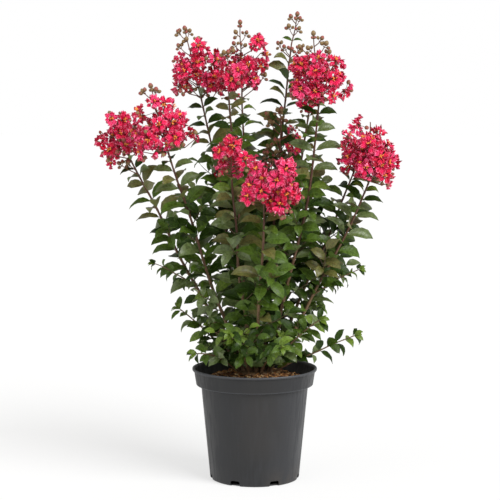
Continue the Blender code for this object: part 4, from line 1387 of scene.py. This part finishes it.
class MYRTLE_OT_stems(bpy.types.Operator):
    """Make the root crown, the boughs, the leafy stems and the shoots"""

    bl_idname = "myrtle.stems"
    bl_label = "Stems"

    def execute(self, context):
        shrub, plant = shrub_of(context), context.scene.myrtle_plant
        old, young = [], []
        for (kind, name), joints in shrub.joints.items():
            if kind == "stem":
                limb, fork = shrub.stems[name], shrub.bare[name]
                points, radii = limb.path(0.0, fork + 0.002, LIMB_STEP, joints)
                flare = 0.9 * np.exp(-np.linspace(0, fork, len(points)) / FLARE_LENGTH)
                old.append((points, radii * (1 + flare)))
                young.append(limb.path(fork, limb.length, LIMB_STEP, joints))
            else:
                limb = shrub.shoots[name]
                young.append(limb.path(0.0, limb.length, LIMB_STEP, joints))
        twigs = [twig.path(0.0, twig.length, 2 * LIMB_STEP) for twig in shrub.twigs]
        old_bark = bark_finish("bark_old", plant, 0.36, 0.62)
        young_bark = bark_finish("bark_young", plant, 0.34, 0.56)
        twig_bark = plain_finish("twig_bark", (0.095, 0.060, 0.026), 0.6)
        keep("old_wood", rods("old_wood", old, 4, 0.00035), old_bark, BOUGHS)
        keep("young_wood", rods("young_wood", young, 3, 0.00016, 200.0), young_bark, MASSES)
        keep("twigs", rods("twigs", twigs, 1), twig_bark, MASSES)

        work = bmesh.new()
        bmesh.ops.create_uvsphere(work, u_segments=40, v_segments=20, radius=1.0)
        for corner in work.verts:
            corner.co *= Vector((CROWN_RADIUS, CROWN_RADIUS, CROWN_HEIGHT))
            rough = noise.noise(corner.co * 60) * 0.0030 + noise.noise(corner.co * 190) * 0.0012
            corner.co += corner.normal * rough
            corner.co.z += CROWN_PLACE
        keep("root_crown", mesh_of("root_crown", work), old_bark, ["crown"])
        return {"FINISHED"}


class MYRTLE_OT_leaves(bpy.types.Operator):
    """Make the leaves, one piece for each tone"""

    bl_idname = "myrtle.leaves"
    bl_label = "Leaves"

    def execute(self, context):
        shrub, plant = shrub_of(context), context.scene.myrtle_plant
        tones = (
            # The deep tone is painted shade
            ("deep", plant.deep, (0.060, 0.105, 0.026), 0.16),
            ("green", plant.middle, (0.120, 0.190, 0.050), 0.28),
            ("fresh", plant.fresh, (0.260, 0.330, 0.070), 0.30),
            ("bronze", plant.bronze, (0.230, 0.095, 0.045), 0.42),
            # The grey tone is lighter in part as painted sheen
            ("grey", plant.grey, (0.160, 0.215, 0.095), 0.62),
        )
        for index, (name, colour, glow, gloss) in enumerate(tones):
            leaves = [leaf for leaf in shrub.leaves if leaf[-1] == index]
            mesh = leaf_mesh(f"leaves_{name}_tone", leaves, plant.leaf_width)
            finish = leaf_finish(f"leaf_{name}", colour, glow, gloss)
            keep(f"leaves_{name}_tone", mesh, finish, MASSES)
        return {"FINISHED"}


class MYRTLE_OT_blossom(bpy.types.Operator):
    """Make the flowers: petals, cups, stamens, stalks and buds"""

    bl_idname = "myrtle.blossom"
    bl_label = "Blossom"

    def execute(self, context):
        shrub, blossom = shrub_of(context), context.scene.myrtle_blossom
        rng = np.random.default_rng(PETAL_SEED)
        tones = {"bright": [], "deep": [], "rose": [], "crimson": []}
        names = list(tones)
        for centre, facing, size, shell in shrub.florets:
            # Inner flowers take mostly the darker petals painted as shade, outer ones more of the lighter
            # petals painted as light
            weights = (0.10, 0.55, 0.05, 0.30) if shell < 0.8 else (0.42, 0.10, 0.28, 0.20)
            own = rng.choice(4, p=weights)
            side, other = round_about(facing[None])
            turn = rng.uniform(0, math.tau)
            for k in range(6):
                angle = turn + math.tau * k / 6 + rng.normal(0, 0.14)
                out = side[0] * math.cos(angle) + other[0] * math.sin(angle)
                tone = own if rng.random() < 0.75 else rng.choice(4, p=weights)
                reach, cup = size * rng.uniform(0.84, 1.14), rng.uniform(0.10, 1.00)
                phase, ruffle = rng.uniform(0, math.tau), rng.uniform(0.8, 1.9)
                tones[names[tone]].append((centre, out, facing, reach, cup, phase, ruffle))
        # The petals' painted shade: the deep petal colour, a little lighter
        petal_shade = shade(blossom.deep, 1.05)
        for name, petals in tones.items():
            finish = petal_finish(f"petal_{name}", getattr(blossom, name), petal_shade)
            keep(f"petals_{name}", petal_mesh(f"petals_{name}", petals), finish, HEADS)

        centres, facings, sizes, _ = fields(shrub.florets)
        cups = cup_mesh("cups", centres, facings, sizes)
        keep("cups", cups, plain_finish("cup_skin", blossom.calyx, 0.55), HEADS)
        picks = (rng.random(len(centres)) < 0.50) | (facings[:, 1] < -0.75)
        tufts = stamen_mesh("stamens", centres[picks], facings[picks], sizes[picks], 9, rng)
        keep("stamens", tufts, plain_finish("stamen_yellow", blossom.stamen, 0.6), HEADS)

        axes = rods("spikes", [spike.path(0.0, spike.length, 0.006) for spike in shrub.spikes.values()], 2)
        keep("spikes", axes, plain_finish("spike_bark", (0.150, 0.058, 0.032), 0.6), HEADS)
        stalks = rods("flower_stalks", shrub.stalks, 0)
        keep("flower_stalks", stalks, plain_finish("stalk_skin", (0.180, 0.070, 0.034), 0.6), HEADS)

        roots, headings, lengths, below = fields(shrub.buds)
        olive = rng.random(len(roots)) < np.where(below, 0.25, 0.52)
        for name, picks, foot, tip in (
            ("olive", olive, blossom.bud_green, shade(blossom.bud_green, 1.2)),
            ("red", ~olive, shade(blossom.bud_green, 0.9), blossom.bud_red),
        ):
            mesh = bud_mesh(f"buds_{name}", roots[picks], headings[picks], lengths[picks])
            keep(f"buds_{name}", mesh, bud_finish(f"bud_{name}", foot, tip), HEADS)
        return {"FINISHED"}


def sun(name, place, strength, width):
    """A sun on this side of the shrub, with its width in degrees, that makes soft shadows."""
    data = bpy.data.lights.new(name, "SUN")
    data.energy, data.angle = strength, math.radians(width)
    lamp = bpy.data.objects.new(name, data)
    lamp.rotation_euler = (MIDDLE - Vector(place)).to_track_quat("-Z", "Y").to_euler()
    lamp.location = place
    bpy.context.scene.collection.objects.link(lamp)


class MYRTLE_OT_stage(bpy.types.Operator):
    """Make the white floor, the studio light and the camera"""

    bl_idname = "myrtle.stage"
    bl_label = "Stage"

    def execute(self, context):
        scene, stage = context.scene, context.scene.myrtle_stage
        work = bmesh.new()
        bmesh.ops.create_grid(work, x_segments=2, y_segments=2, size=40.0)
        floor = bpy.data.objects.new("floor", mesh_of("floor", work))
        scene.collection.objects.link(floor)
        white = Finish("floor_white", 0.9, 0.0)
        white.coat((0.36, 0.36, 0.36))
        white.give("Emission Color", (1.0, 1.0, 1.0))
        white.give("Emission Strength", 0.66)
        floor.data.materials.append(white.material)

        sun("key", (1.9, -1.8, 2.5), stage.key, 38)
        sun("fill", (-2.2, -1.6, 1.2), stage.fill, 60)

        world = bpy.data.worlds.new("white_room")
        scene.world = world
        world.use_nodes = True
        nodes, links = world.node_tree.nodes, world.node_tree.links
        seen = nodes["Background"]
        seen.inputs["Color"].default_value = (1.0, 1.0, 1.0, 1.0)
        room = nodes.new("ShaderNodeBackground")
        room.inputs["Color"].default_value = (1.0, 0.99, 0.96, 1.0)
        room.inputs["Strength"].default_value = stage.room
        chooser, path = nodes.new("ShaderNodeMixShader"), nodes.new("ShaderNodeLightPath")
        links.new(path.outputs["Is Camera Ray"], chooser.inputs[0])
        links.new(room.outputs[0], chooser.inputs[1])
        links.new(seen.outputs[0], chooser.inputs[2])
        links.new(chooser.outputs[0], nodes["World Output"].inputs["Surface"])

        data = bpy.data.cameras.new("camera")
        data.lens, data.sensor_width = LENS, 36.0
        data.clip_end = 200.0
        camera = bpy.data.objects.new("camera", data)
        camera.location = EYE
        camera.rotation_euler = (math.radians(90 - LOOK_DOWN), 0.0, 0.0)
        scene.collection.objects.link(camera)
        scene.camera = camera
        scene.view_settings.view_transform = "Standard"
        return {"FINISHED"}


class MYRTLE_PT_panel(bpy.types.Panel):
    """Buttons for each piece of the potted shrub"""

    bl_idname = "MYRTLE_PT_panel"
    bl_label = "Crape myrtle"
    bl_space_type = "VIEW_3D"
    bl_region_type = "UI"
    bl_category = "Myrtle"

    def draw(self, context):
        for operator in OPERATORS:
            self.layout.operator(operator.bl_idname)
        for name in SETTINGS:
            group, box = getattr(context.scene, name), self.layout.box()
            for key in group.__annotations__:
                box.prop(group, key)


OPERATORS = (
    MYRTLE_OT_pot, MYRTLE_OT_soil, MYRTLE_OT_stems, MYRTLE_OT_leaves, MYRTLE_OT_blossom, MYRTLE_OT_stage,
)
SETTINGS = {
    "myrtle_pot": MyrtlePotSettings,
    "myrtle_plant": MyrtlePlantSettings,
    "myrtle_blossom": MyrtleBlossomSettings,
    "myrtle_stage": MyrtleStageSettings,
}


def register():
    for kind in (*SETTINGS.values(), *OPERATORS, MYRTLE_PT_panel):
        bpy.utils.register_class(kind)
    for name, kind in SETTINGS.items():
        setattr(bpy.types.Scene, name, PointerProperty(type=kind))


def unregister():
    for name in SETTINGS:
        delattr(bpy.types.Scene, name)
    for kind in reversed((*SETTINGS.values(), *OPERATORS, MYRTLE_PT_panel)):
        bpy.utils.unregister_class(kind)


def main():
    register()
    bpy.ops.myrtle.pot()
    bpy.ops.myrtle.soil()
    bpy.ops.myrtle.stems()
    bpy.ops.myrtle.leaves()
    bpy.ops.myrtle.blossom()
    bpy.ops.myrtle.stage()


if __name__ == "__main__":
    main()
